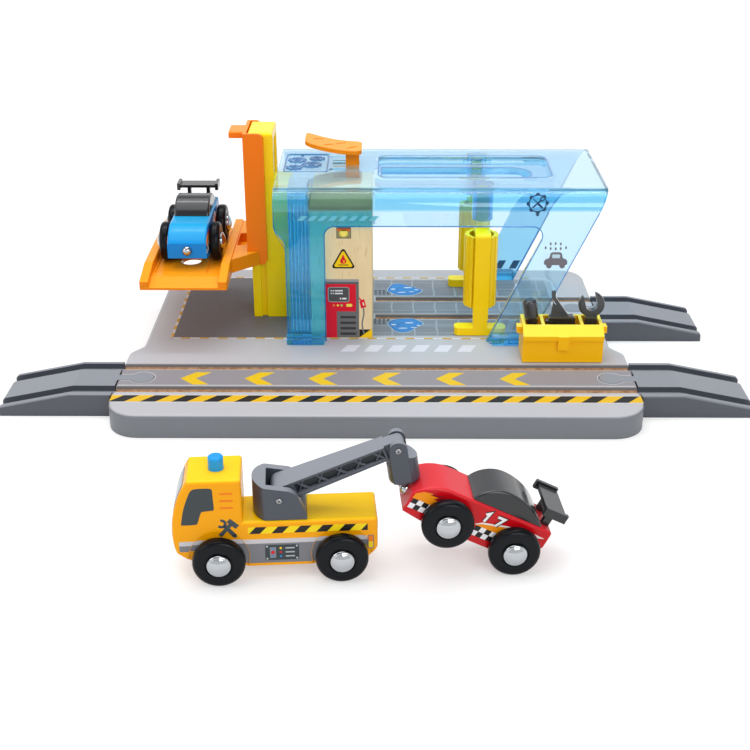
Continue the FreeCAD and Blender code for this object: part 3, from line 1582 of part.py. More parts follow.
def boom(stand):
    """The tapering lattice boom, its tip narrowed to fit between the head's ears."""
    half, root, length = S.boom_wide / 2, S.boom_high / 2, S.boom_long
    tip, end = S.boom_tip_high / 2, S.boom_long - S.boom_tip_long
    piece = Piece("boom")
    side = [
        Corner(0, -root),
        Corner(length, -tip),
        Via(length + tip, 0),
        Corner(length, tip),
        Corner(0, root),
        Via(-root, 0),
    ]
    piece.pad("XZ", [side], -half, half)
    crosses = boom_crosses()
    margin = S.boom_cross_half + S.boom_bar
    left, right = crosses[0] - margin, crosses[-1] + margin
    web = [
        Corner(left, -boom_web_high(left)),
        Corner(right, -boom_web_high(right)),
        Corner(right, boom_web_high(right)),
        Corner(left, boom_web_high(left)),
    ]
    outside, beyond = half + S.overcut, length + S.boom_high
    for way in (-1, 1):
        plan = [
            Corner(0, way * half),
            Corner(end, way * S.boom_end_wide / 2),
            Corner(end, way * S.boom_tip_wide / 2),
            Corner(beyond, way * S.boom_tip_wide / 2),
            Corner(beyond, way * outside),
            Corner(0, way * outside),
        ]
        piece.pad("XY", [plan], -S.boom_high, S.boom_high, cut=True)
        piece.pad("XZ", [web], *reach(Size.of(0), way, S.boom_web_wide / 2, outside), cut=True)
        piece.pad("XZ", boom_lattice(), *reach(Size.of(0), way, S.boom_core_wide / 2, outside), cut=True)
    piece.cylinder("Y", (0, 0), S.boom_pin_radius + S.pin_gap, -outside, outside, cut=True)
    piece.cylinder("Y", (length, 0), S.head_pin_radius + S.pin_gap, -outside, outside, cut=True)
    piece.place(stand.at(S.turret_x, S.boom_pivot_high), yaw=stand.yaw, pitch=-S.boom_rise)


def magnet_head(stand):
    """The hanging head: a round body below the boom's tip, two ears beside it and a disc magnet below."""
    half, low, edge = S.head_wide / 2, S.head_low, S.head_ear_half
    inner = S.boom_tip_wide / 2 + S.slide_gap
    centre = (S.head_offset, 0)
    piece = Piece("magnet_head")
    piece.cylinder("Z", centre, S.head_radius, -low, -S.head_top)
    piece.round(S.head_bottom_round, lambda rim, middle: near(middle.z, -low))
    room = S.boom_tip_high / 2 + S.head_clear
    reach_x, drop = room * sine(S.head_slope), room * cosine(S.head_slope)
    run = S.head_radius * 2
    back = S.head_offset + S.head_radius
    above = S.overcut - S.head_top
    roof = [
        Corner(-run, above),
        Corner(-run, -drop - (run + reach_x) * sine(S.head_slope) / cosine(S.head_slope)),
        Corner(reach_x, -drop),
        Corner(edge, -S.head_back_high),
        Corner(back, -S.head_back_low),
        Corner(back + S.overcut, -S.head_back_low),
        Corner(back + S.overcut, above),
    ]
    piece.pad("XZ", [roof], -S.head_radius - S.overcut, S.head_radius + S.overcut, cut=True)
    ear = [
        Corner(-edge, 0),
        Via(0, edge),
        Corner(edge, 0),
        Corner(edge, -low + S.head_bottom_round),
        Corner(-edge, -low + S.head_bottom_round),
    ]
    piece.pad("XZ", [ear], inner, half)
    piece.pad("XZ", [ear], -half, -inner)
    piece.cylinder("Z", centre, S.magnet_radius + S.pin_gap, -low - S.overcut, -low + S.magnet_sunk, cut=True)
    piece.cylinder("Y", (0, 0), S.head_pin_radius + S.pin_gap, -half - S.overcut, half + S.overcut, cut=True)
    magnet_z = (-low - S.magnet_out, -low + S.magnet_sunk - S.pin_gap)
    magnet = Piece("crane_magnet").cylinder("Z", centre, S.magnet_radius, *magnet_z)
    ends = half - S.seat_gap
    pin = Piece("head_pin").cylinder("Y", (0, 0), S.head_pin_radius, -ends, ends)
    place = stand.at(
        S.turret_x + S.boom_long * cosine(S.boom_rise),
        S.boom_pivot_high + S.boom_long * sine(S.boom_rise),
    )
    for part in (piece, magnet, pin):
        part.place(place, yaw=stand.yaw, pitch=-S.head_tilt)


def vehicles():
    """The crane truck, the red car that hangs from it and the blue car on the lift."""
    truck = Stand((S.truck_x, S.truck_y, 0), S.truck_yaw)
    truck_body(truck)
    turret(truck)
    boom(truck)
    magnet_head(truck)
    wheelset("truck_front", truck, Size.of(0), S.wheel_radius)
    wheelset("truck_rear", truck, S.truck_wheelbase, S.wheel_radius)
    car("red_car", Stand(truck.at(S.red_car_along, S.wheel_radius), S.truck_yaw, S.red_car_pitch))
    deck = platform_low() + S.platform_thick - S.platform_channel_deep
    height = deck + S.blue_car_rest + S.wheel_radius
    car("blue_car", Stand((S.platform_centre, S.blue_car_y, height), 90))


base_board()
for label, (edge, track) in zip(("front_left_ramp", "front_right_ramp", "rear_ramp"), sockets()):
    ramp(label, edge, track)
canopy()
ribbed_column()
fuel_block()
paddle()
lift_tower()
lift_carriage()
lift_platform()
for side, middle, way in wash_places():
    wash_brush(side, middle, way)
toolbox()
for make, place in zip((screwdriver, jack, wrench), tool_places()):
    make(place)
vehicles()


def write_parts():
    """Checks every object and writes each sub-part to its own file."""
    doc.recompute()
    for thing in doc.Objects:
        if "Invalid" in thing.State or "Error" in thing.State:
            raise RuntimeError("%s is not valid: %s" % (thing.Name, thing.State))
        before = getattr(thing, "BaseFeature", None)
        cuts = thing.TypeId == "PartDesign::Pocket" or "Subtractive" in thing.TypeId
        if cuts and before.Shape.Volume - thing.Shape.Volume < NEAR:
            raise RuntimeError("%s cuts nothing" % thing.Name)
    os.makedirs("parts", exist_ok=True)
    for thing in doc.Objects:
        if thing.TypeId != "PartDesign::Body":
            continue
        shape = thing.Shape
        if shape.isNull() or not shape.isValid():
            raise RuntimeError("%s has no valid shape" % thing.Label)
        shape.exportStep("parts/%s.step" % thing.Label)
        print("%-24s %2d solid, %9.1f mm3" % (thing.Label, len(shape.Solids), shape.Volume))


write_parts()
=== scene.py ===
"""Looks of a toy garage playset.

A track board with a clear canopy, a lift, a car wash, a tool box, a crane truck and two cars.
"""

import logging
import math
from dataclasses import dataclass
from enum import Enum
from typing import Iterable, Sequence

import bpy
import numpy as np
from mathutils import Matrix, Vector


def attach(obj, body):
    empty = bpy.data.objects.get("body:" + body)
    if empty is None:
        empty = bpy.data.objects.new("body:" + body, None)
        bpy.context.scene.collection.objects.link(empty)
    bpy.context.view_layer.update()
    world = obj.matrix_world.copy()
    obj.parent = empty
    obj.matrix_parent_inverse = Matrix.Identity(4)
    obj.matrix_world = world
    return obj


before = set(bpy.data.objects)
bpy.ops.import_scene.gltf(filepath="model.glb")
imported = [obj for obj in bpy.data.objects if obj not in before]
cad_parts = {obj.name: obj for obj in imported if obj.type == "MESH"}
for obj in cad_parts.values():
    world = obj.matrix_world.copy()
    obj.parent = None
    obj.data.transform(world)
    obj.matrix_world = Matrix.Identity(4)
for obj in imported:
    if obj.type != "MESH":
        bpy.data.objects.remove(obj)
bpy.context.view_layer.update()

log = logging.getLogger("garage")

MM = 0.001
TURN = 2 * math.pi
COAT_ROUGHNESS = 0.06
GRAIN_STRENGTH = 0.25
GRAIN_DEPTH = 0.00006


# Small tools


def linear(code: str) -> tuple[float, float, float, float]:
    """Turns a screen colour into the linear values that shaders take.

    Args:
        code: Six hexadecimal digits, red first.

    Returns:
        Linear red, green, blue and a full alpha.
    """
    parts = [int(code[i:i + 2], 16) / 255 for i in (0, 2, 4)]
    return tuple(p / 12.92 if p <= 0.04045 else ((p + 0.055) / 1.055) ** 2.4 for p in parts) + (1.0,)


def unit(vector: Sequence[float]) -> np.ndarray:
    """Returns a vector at length one."""
    found = np.asarray(vector, float)
    return found / np.linalg.norm(found)


class Graph:
    """A node tree with short calls that add and join its nodes."""

    def __init__(self, tree: bpy.types.NodeTree) -> None:
        """Keeps the tree."""
        self.tree = tree

    def add(self, kind: str, settings: dict | None = None, **values) -> bpy.types.Node:
        """Adds a node.

        Args:
            kind: The node's type, without "ShaderNode".
            settings: Properties of the node.
            **values: A constant or an output for each named input, spaces as underscores.

        Returns:
            The node.
        """
        node = self.tree.nodes.new("ShaderNode" + kind)
        for name, value in (settings or {}).items():
            setattr(node, name, value)
        for name, value in values.items():
            self.feed(node.inputs[name.replace("_", " ")], value)
        return node

    def feed(self, socket: bpy.types.NodeSocket, value) -> None:
        """Gives an input its constant or its link."""
        if isinstance(value, bpy.types.NodeSocket):
            self.tree.links.new(value, socket)
        else:
            socket.default_value = value

    def math(self, operation: str, *values, clamp: bool = False) -> bpy.types.NodeSocket:
        """Adds a Math node.

        Args:
            operation: Blender's name of the operation.
            *values: Constants or outputs, in order.
            clamp: Whether the result is held between 0 and 1.

        Returns:
            The result.
        """
        node = self.add("Math", {"operation": operation, "use_clamp": clamp})
        for socket, value in zip(node.inputs, values):
            self.feed(socket, value)
        return node.outputs[0]

    def mix(self, factor, first, second, blend: str = "MIX") -> bpy.types.NodeSocket:
        """Mixes two colours.

        Args:
            factor: How much of the second shows.
            first: A colour or an output.
            second: A colour or an output.
            blend: Blender's name of the way they mix.

        Returns:
            The mixed colour.
        """
        node = self.add("Mix", {"data_type": "RGBA", "blend_type": blend})
        for index, value in ((0, factor), (6, first), (7, second)):
            self.feed(node.inputs[index], value)
        return node.outputs[2]

    def ramp(self, value, low: float, high: float, start: float = 0.0, end: float = 1.0) -> bpy.types.NodeSocket:
        """Carries a value from one range to another, held at both ends.

        Args:
            value: The output to carry.
            low: Where the first range starts.
            high: Where the first range ends.
            start: What low becomes.
            end: What high becomes.

        Returns:
            The carried value.
        """
        node = self.add("MapRange", {"clamp": True}, Value=value, From_Min=low, From_Max=high,
                        To_Min=start, To_Max=end)
        return node.outputs["Result"]

    def split(self, vector) -> tuple[bpy.types.NodeSocket, ...]:
        """Returns the three parts of a vector."""
        return tuple(self.add("SeparateXYZ", Vector=vector).outputs)

    def noise(self, vector, **values) -> bpy.types.NodeSocket:
        """Returns noise over a vector, with the values given for its inputs."""
        return self.add("TexNoise", Vector=vector, **values).outputs["Fac"]

    def product(self, first, *others) -> bpy.types.NodeSocket:
        """Multiplies values in order.

        Args:
            first: A value or a socket.
            others: The values or sockets to multiply it by.

        Returns:
            The socket of the product.
        """
        for value in others:
            first = self.math("MULTIPLY", first, value)
        return first

    def below(self, value, low: float, high: float) -> bpy.types.NodeSocket:
        """Returns 1 under a range and 0 over it."""
        return self.ramp(value, low, high, 1.0, 0.0)

    def apart(self, value, middle: float) -> bpy.types.NodeSocket:
        """Returns how far a value lies from a middle."""
        return self.math("ABSOLUTE", self.math("SUBTRACT", value, middle))

    def repeat(self, value, pitch: float) -> bpy.types.NodeSocket:
        """Returns how far a value lies from the middle of its pitch, as a share of the pitch."""
        return self.apart(self.math("FRACT", self.math("DIVIDE", value, pitch)), 0.5)


# Effects that several finishes share


class Effects:
    """Shader node groups, each built once."""

    def __init__(self) -> None:
        """Starts with no group built."""
        self.built: dict[str, bpy.types.NodeTree] = {}

    def start(self, name: str, inputs: dict[str, tuple[str, object]],
              outputs: dict[str, str]) -> tuple[Graph, bpy.types.Node, bpy.types.Node]:
        """Makes an empty group with its named sockets.

        Args:
            name: The group's name.
            inputs: Each input's socket type and default.
            outputs: Each output's socket type.

        Returns:
            The group's graph, its input node and its output node.
        """
        tree = bpy.data.node_groups.new(name, "ShaderNodeTree")
        for label, (kind, default) in inputs.items():
            socket = tree.interface.new_socket(label, in_out="INPUT", socket_type="NodeSocket" + kind)
            if default is not None:
                socket.default_value = default
        for label, kind in outputs.items():
            tree.interface.new_socket(label, in_out="OUTPUT", socket_type="NodeSocket" + kind)
        graph = Graph(tree)
        self.built[name] = tree
        return graph, tree.nodes.new("NodeGroupInput"), tree.nodes.new("NodeGroupOutput")

    def surface(self) -> bpy.types.NodeTree:
        """Builds moulded or painted skin: slow colour drift, fine grain and faint rubbed streaks.

        Returns:
            A group that gives a colour, a roughness and a bump height.
        """
        if "skin" in self.built:
            return self.built["skin"]
        graph, given, gives = self.start(
            "skin",
            {"Vector": ("Vector", None), "Color": ("Color", (0.5, 0.5, 0.5, 1.0)), "Drift": ("Float", 0.05),
             "Grain Scale": ("Float", 900.0), "Grain": ("Float", 0.3), "Roughness": ("Float", 0.4),
             "Rubbing": ("Float", 0.1)},
            {"Color": "Color", "Roughness": "Float", "Height": "Float"},
        )
        vector = given.outputs["Vector"]
        slow = graph.noise(vector, Scale=28.0, Detail=3.0, Roughness=0.55)
        fine = graph.noise(vector, Scale=given.outputs["Grain Scale"], Detail=2.0, Roughness=0.6)
        stretched = graph.add("Mapping", Vector=vector, Scale=(220.0, 36.0, 190.0), Rotation=(0.2, 0.5, 0.9))
        streaks = graph.noise(stretched.outputs[0], Scale=1.0, Detail=4.0, Roughness=0.7)
        rubbed = graph.ramp(streaks, 0.56, 0.78)
        swing = graph.math("MULTIPLY", graph.math("SUBTRACT", slow, 0.5), given.outputs["Drift"])
        level = graph.math("ADD", swing, 1.0)
        shade = graph.add("CombineColor", Red=level, Green=level, Blue=level).outputs[0]
        tinted = graph.mix(1.0, given.outputs["Color"], shade, "MULTIPLY")
        graph.feed(gives.inputs["Color"], tinted)
        worn = graph.math("MULTIPLY", rubbed, given.outputs["Rubbing"])
        speck = graph.math("MULTIPLY", graph.math("SUBTRACT", fine, 0.5), 0.08)
        rough = graph.math("ADD", graph.math("ADD", given.outputs["Roughness"], worn), speck, clamp=True)
        graph.feed(gives.inputs["Roughness"], rough)
        graph.feed(gives.inputs["Height"], graph.math("MULTIPLY", fine, given.outputs["Grain"]))
        return self.built["skin"]

    def fibre(self) -> bpy.types.NodeTree:
        """Builds pressed fibreboard: short pale and brown fibres, matt and slightly rough.

        Returns:
            A group that gives a colour.
        """
        if "fibre" in self.built:
            return self.built["fibre"]
        graph, given, gives = self.start(
            "fibre",
            {"Vector": ("Vector", None), "Light": ("Color", linear("d9b48c")), "Dark": ("Color", linear("9a6a45"))},
            {"Color": "Color"},
        )
        stretched = graph.add("Mapping", Vector=given.outputs["Vector"], Scale=(520.0, 900.0, 1500.0))
        fibres = graph.noise(stretched.outputs[0], Scale=1.0, Detail=5.0, Roughness=0.75)
        clumps = graph.noise(given.outputs["Vector"], Scale=260.0, Detail=3.0)
        both = graph.math("ADD", graph.product(fibres, 0.65), graph.product(clumps, 0.35))
        graph.feed(gives.inputs["Color"],
                   graph.mix(graph.ramp(both, 0.36, 0.62), given.outputs["Dark"], given.outputs["Light"]))
        return self.built["fibre"]

    def timber(self) -> bpy.types.NodeTree:
        """Builds planed beech: growth bands along an axis, broken by short dark flecks.

        Returns:
            A group that gives a colour.
        """
        if "timber" in self.built:
            return self.built["timber"]
        graph, given, gives = self.start(
            "timber",
            {"Vector": ("Vector", None), "Light": ("Color", linear("f0d9ac")), "Dark": ("Color", linear("ead0a0")),
             "Fleck": ("Color", linear("c99b62"))},
            {"Color": "Color"},
        )
        vector = given.outputs["Vector"]
        along = graph.add("Mapping", Vector=vector, Scale=(150.0, 150.0, 22.0))
        bands = graph.noise(along.outputs[0], Scale=1.0, Detail=4.0, Roughness=0.6, Distortion=0.4)
        short = graph.add("Mapping", Vector=vector, Scale=(900.0, 900.0, 130.0), Rotation=(0.0, 0.5, 0.0))
        flecks = graph.noise(short.outputs[0], Scale=1.0, Detail=1.0)
        base = graph.mix(graph.ramp(bands, 0.34, 0.68), given.outputs["Light"], given.outputs["Dark"])
        marked = graph.ramp(flecks, 0.64, 0.74, 0.0, 0.4)
        graph.feed(gives.inputs["Color"], graph.mix(marked, base, given.outputs["Fleck"]))
        return self.built["timber"]


EFFECTS = Effects()


# Finishes


@dataclass(frozen=True)
class Finish:
    """A painted or moulded surface.

    Attributes:
        name: The material's name.
        colour: Its screen colour.
        roughness: How matt it is.
        coat: How much clear lacquer lies on it.
        drift: How far its shade wanders.
        grain: How deep its fine grain is.
        grain_scale: How fine that grain is.
        rubbing: How much rubbed streaks dull it.
        specular: How strongly it reflects.
        glow: How much light it gives off in its own colour: a painted glow, though it is no lamp.
        edge: How far its sharp edges look rounded, in millimetres.
    """

    name: str
    colour: str
    roughness: float = 0.35
    coat: float = 0.0
    drift: float = 0.06
    grain: float = 0.35
    grain_scale: float = 1400.0
    rubbing: float = 0.08
    specular: float = 0.4
    glow: float = 0.0
    edge: float = 0.0

    def start(self) -> tuple[bpy.types.Material, Graph, bpy.types.Node, bpy.types.NodeSocket]:
        """Makes the bare material.

        Returns:
            The material, its graph, its shader and its Object coordinates.
        """
        material = bpy.data.materials.new(self.name)
        material.use_nodes = True
        graph = Graph(material.node_tree)
        shader = material.node_tree.nodes["Principled BSDF"]
        where = graph.add("TexCoord").outputs["Object"]
        shader.inputs["Specular IOR Level"].default_value = self.specular
        shader.inputs["Coat Weight"].default_value = self.coat
        shader.inputs["Coat Roughness"].default_value = COAT_ROUGHNESS
        return material, graph, shader, where

    def base(self, graph: Graph, where: bpy.types.NodeSocket):
        """Returns the colour before its skin: a constant here."""
        return linear(self.colour)

    def material(self) -> bpy.types.Material:
        """Builds the material.

        Returns:
            The material.
        """
        material, graph, shader, where = self.start()
        skin = graph.add("Group", {"node_tree": EFFECTS.surface()}, Vector=where, Color=self.base(graph, where),
                         Drift=self.drift, Grain_Scale=self.grain_scale, Grain=self.grain,
                         Roughness=self.roughness, Rubbing=self.rubbing)
        graph.feed(shader.inputs["Base Color"], skin.outputs["Color"])
        graph.feed(shader.inputs["Roughness"], skin.outputs["Roughness"])
        bump = graph.add("Bump", Height=skin.outputs["Height"], Strength=GRAIN_STRENGTH,
                         Distance=GRAIN_DEPTH)
        if self.edge:
            rounded = graph.add("Bevel", {"samples": 6}, Radius=self.edge * MM)
            graph.feed(bump.inputs["Normal"], rounded.outputs[0])
        graph.feed(shader.inputs["Normal"], bump.outputs[0])
        # Painted glow: the part gives off light in its own colour, though it is no lamp.
        if self.glow:
            graph.feed(shader.inputs["Emission Color"], skin.outputs["Color"])
            shader.inputs["Emission Strength"].default_value = self.glow
        return material


@dataclass(frozen=True)
class TopLit(Finish):
    """Paint or plastic with painted top light: paler on the faces that look up, as if lit from above.

    Attributes:
        top: The paler colour, painted light on the faces that look up.
        turned: How far up a face has to look for the paler colour to start, and to be full.
    """

    top: str = "ffffff"
    turned: tuple[float, float] = (0.35, 0.92)

    def base(self, graph: Graph, where: bpy.types.NodeSocket):
        """Returns the colour, mixed towards the paler one as a face's own normal turns upwards: painted top light."""
        # Painted top light: faces that look up take the paler colour.
        upward = graph.split(graph.add("TexCoord").outputs["Normal"])[2]
        return graph.mix(graph.ramp(upward, *self.turned), linear(self.colour), linear(self.top))


@dataclass(frozen=True)
class Printed(Finish):
    """Printing ink whose colours lie in the piece's own ink attribute."""

    def base(self, graph: Graph, where: bpy.types.NodeSocket):
        """Returns the ink's colour, toned by the finish's own."""
        ink = graph.add("Attribute", {"attribute_name": "ink"}).outputs["Color"]
        return graph.mix(1.0, ink, linear(self.colour), blend="MULTIPLY")


@dataclass(frozen=True)
class Metal(Finish):
    """Plated or turned metal."""

    def material(self) -> bpy.types.Material:
        """Builds the material.

        Returns:
            The material.
        """
        material = Finish.material(self)
        shader = material.node_tree.nodes["Principled BSDF"]
        shader.inputs["Metallic"].default_value = 1.0
        return material


@dataclass(frozen=True)
class Clear(Finish):
    """Clear tinted plastic: glossy, a little milky, and it lets lamp light through in its own pale colour.

    Attributes:
        tint: The colour that one wall gives to what lies behind it.
        ior: How strongly it bends light.
        clear: How much of it is clear rather than milky.
    """

    tint: str = "bfe6f7"
    ior: float = 1.15
    clear: float = 0.9

    def base(self, graph: Graph, where: bpy.types.NodeSocket):
        """Returns the tint of one wall."""
        return linear(self.tint)

    def material(self) -> bpy.types.Material:
        """Builds the material.

        Returns:
            The material.
        """
        material, graph, shader, where = self.start()
        graph.feed(shader.inputs["Base Color"], self.base(graph, where))
        shader.inputs["Transmission Weight"].default_value = self.clear
        shader.inputs["IOR"].default_value = self.ior
        shader.inputs["Coat Weight"].default_value = 1.0
        shader.inputs["Coat Roughness"].default_value = 0.02
        smears = graph.noise(where, Scale=45.0, Detail=4.0, Roughness=0.6)
        graph.feed(shader.inputs["Roughness"],
                   graph.ramp(smears, 0.45, 0.75, self.roughness, self.roughness + self.rubbing))
        passed = graph.add("BsdfTransparent", Color=linear(self.colour)).outputs[0]
        shadow = graph.add("LightPath").outputs["Is Shadow Ray"]
        chosen = graph.add("MixShader")
        graph.feed(chosen.inputs[0], shadow)
        graph.feed(chosen.inputs[1], shader.outputs[0])
        graph.feed(chosen.inputs[2], passed)
        output = material.node_tree.nodes["Material Output"]
        graph.feed(output.inputs["Surface"], chosen.outputs[0])
        return material


@dataclass(frozen=True)
class Zoned(Clear):
    """Clear plastic whose tint differs by place, in metres in the canopy's own frame.

    Attributes:
        band: The tint of the folded front edge under the roof.
        rear: The tint of the rear wall.
        leg: The tint of the front wall before the block and of the left leg.
        shade: Painted shade: a dark tint on the folded edge before the block, for the shaded block and post that show
            through it.
        foot: The tint of the feet.
        tray: The tint of the roof's tray.
        tube: The tint of the tubes that hold the brush posts.
        tubes: Where those tubes stand.
        tube_radius: How wide their tint reaches.
        hall: The middle and half depth of the hall between the walls.
        front_end: Where the front wall ends.
        rear_start: Where the rear wall starts.
        left_end: Where the left part of the front wall ends.
        fold_low: Where the fold starts in height.
        fold_end: Where the fold ends in depth.
        block: The middle and half length of the block behind the fold.
        tray_along: The middle and half length of the tray.
        tray_across: The middle and half depth of the tray.
        sunk: Where the tray's floor ends in height.
        feet_top: Where the feet end in height.
    """

    band: str = "7cc6e8"
    rear: str = "93cfee"
    leg: str = "6ccdf0"
    shade: str = "6f8f86"
    foot: str = "42aadd"
    tray: str = "9dd8f3"
    tube: str = "58b2e0"
    tubes: tuple[tuple[float, float], ...] = ((0.0562, 0.0095), (0.0562, 0.0641))
    tube_radius: float = 0.0085
    hall: tuple[float, float] = (0.0357, 0.0435)
    front_end: tuple[float, float] = (-0.007, -0.006)
    rear_start: tuple[float, float] = (0.0785, 0.0795)
    left_end: tuple[float, float] = (-0.0026, -0.0022)
    fold_low: tuple[float, float] = (0.0852, 0.0858)
    fold_end: tuple[float, float] = (-0.0016, -0.0008)
    block: tuple[float, float] = (-0.0189, 0.0165)
    tray_along: tuple[float, float] = (0.0472, 0.0478)
    tray_across: tuple[float, float] = (0.0385, 0.0215)
    sunk: tuple[float, float] = (0.0925, 0.0929)
    feet_top: tuple[float, float] = (0.0166, 0.0169)

    def from_tube(self, graph: Graph, x, y, place: tuple[float, float]) -> bpy.types.NodeSocket:
        """Measures the distance from a tube's axis: the root of the sum of both squares.

        Args:
            graph: The material's nodes.
            x: The length coordinate.
            y: The depth coordinate.
            place: Where the axis stands.

        Returns:
            The socket of the distance.
        """
        squares = [graph.math("POWER", graph.math("SUBTRACT", value, middle), 2.0)
                   for value, middle in zip((x, y), place)]
        return graph.math("SQRT", graph.math("ADD", *squares))

    def base(self, graph: Graph, where: bpy.types.NodeSocket):
        """Returns the tint by place: each has its own range of length, width or height."""
        x, y, z = graph.split(where)
        fold = graph.product(graph.ramp(z, *self.fold_low), graph.below(y, *self.fold_end))
        left = graph.product(graph.below(x, *self.left_end), graph.below(y, *self.front_end))
        sunk = graph.below(z, *self.sunk)
        tray = graph.product(graph.math("COMPARE", y, *self.tray_across),
                             graph.math("COMPARE", x, *self.tray_along), sunk)
        nearest = graph.math("MINIMUM", *(self.from_tube(graph, x, y, place) for place in self.tubes))
        tube = graph.product(graph.math("LESS_THAN", nearest, self.tube_radius), sunk,
                             graph.math("COMPARE", y, *self.hall))
        # Painted shade: the fold before the block is darkened for the shaded block and post behind it.
        block_shade = graph.product(fold, graph.math("COMPARE", x, *self.block))
        colour = graph.mix(graph.ramp(y, *self.rear_start), linear(self.tint), linear(self.rear))
        for mask, tint in ((fold, self.band), (left, self.leg), (block_shade, self.shade), (tray, self.tray),
                           (tube, self.tube), (graph.below(z, *self.feet_top), self.foot)):
            colour = graph.mix(mask, colour, linear(tint))
        return colour


@dataclass(frozen=True)
class FluteShaded(Clear):
    """Clear plastic with painted shade: deeper in colour along its upright flutes.

    Attributes:
        deep: The flutes' tint, painted shade.
        first: Where the first pitch starts, in metres.
        pitch: From flute to flute.
        core: How far from a pitch's middle the deep tint starts to fade and ends, as shares of the pitch.
        most: How much of the deep tint shows at the middle.
    """

    deep: str = "2590b8"
    first: float = -0.047
    pitch: float = 0.0018833
    core: tuple[float, float] = (0.12, 0.26)
    most: float = 0.9

    def base(self, graph: Graph, where: bpy.types.NodeSocket):
        """Returns the tint, with painted shade deeper where the place along the front is near the middle of a pitch."""
        along = graph.math("SUBTRACT", graph.split(where)[0], self.first)
        # Painted shade along each flute.
        flute_shade = graph.ramp(graph.repeat(along, self.pitch), *self.core, self.most, 0.0)
        return graph.mix(flute_shade, linear(self.tint), linear(self.deep))


@dataclass(frozen=True)
class BoardPaint(Finish):
    """Grey paint, darker down the board's sides, with raw fibreboard low in its grooves.

    The fibre is chosen by depth and height alone, so it also marks the sides where a groove's line meets them.

    Attributes:
        side: The colour of the board's sides.
        tracks: Where the tracks' centre lines run, in metres.
        groove: How far the fibre's middle lies from that line, and how far it reaches to both sides.
        floor: The height of the fibre's middle, and how far it reaches up and down.
        rim: Where the side's colour ends and the top's is full.
    """

    side: str = "8d9399"
    tracks: tuple[float, float] = (-0.0562, 0.0368)
    groove: tuple[float, float] = (0.013, 0.0037)
    floor: tuple[float, float] = (0.0092, 0.00075)
    rim: tuple[float, float] = (0.0113, 0.0119)

    def base(self, graph: Graph, where: bpy.types.NodeSocket):
        """Returns the colour by place: top paint, side paint, and fibre at the groove floors' height."""
        _, y, z = graph.split(where)
        painted = graph.mix(graph.ramp(z, *self.rim), linear(self.side), linear(self.colour))
        bands = [graph.math("COMPARE", graph.apart(y, track), *self.groove) for track in self.tracks]
        bare = graph.product(graph.math("MAXIMUM", *bands), graph.math("COMPARE", z, *self.floor))
        fibre = graph.add("Group", {"node_tree": EFFECTS.fibre()}, Vector=where).outputs["Color"]
        return graph.mix(bare, painted, fibre)


@dataclass(frozen=True)
class Timber(Finish):
    """Planed beech with its growth bands upright."""

    def base(self, graph: Graph, where: bpy.types.NodeSocket):
        """Returns the wood's colour."""
        return graph.add("Group", {"node_tree": EFFECTS.timber()}, Vector=where).outputs["Color"]


@dataclass(frozen=True)
class Paving(Finish):
    """Printed paving: a dark ground under two sets of fine slanting lines.

    Attributes:
        line: The lines' colour.
        pitch: From line to line, in metres.
        lean: How far the lines lean: the share of depth in the slanting sum.
        half: Half a line's width, as a share of the pitch.
        most: How much of the lines' colour shows.
    """

    line: str = "807d82"
    pitch: float = 0.0021
    lean: float = 0.6
    half: float = 0.11
    most: float = 0.55

    def base(self, graph: Graph, where: bpy.types.NodeSocket):
        """Returns the ground with lighter lines where either slanting sum is near a whole pitch."""
        x, y, _ = graph.split(where)
        near = []
        for way in (1.0, -1.0):
            total = graph.math("ADD", graph.product(x, way), graph.product(y, self.lean))
            near.append(graph.math("LESS_THAN", graph.repeat(total, self.pitch), self.half))
        lines = graph.product(graph.math("MAXIMUM", *near), self.most)
        return graph.mix(lines, linear(self.colour), linear(self.line))


@dataclass(frozen=True)
class WetFloor(Finish):
    """Printed wash floor: grey with long streaks along the track."""

    line: str = "8f949b"

    def base(self, graph: Graph, where: bpy.types.NodeSocket):
        """Returns the grey with noise that is stretched along the track."""
        drawn = graph.add("Mapping", Vector=where, Scale=(14.0, 620.0, 14.0))
        streak = graph.noise(drawn.outputs[0], Scale=1.0, Detail=3.0)
        return graph.mix(graph.ramp(streak, 0.42, 0.68, 0.0, 0.7), linear(self.colour), linear(self.line))


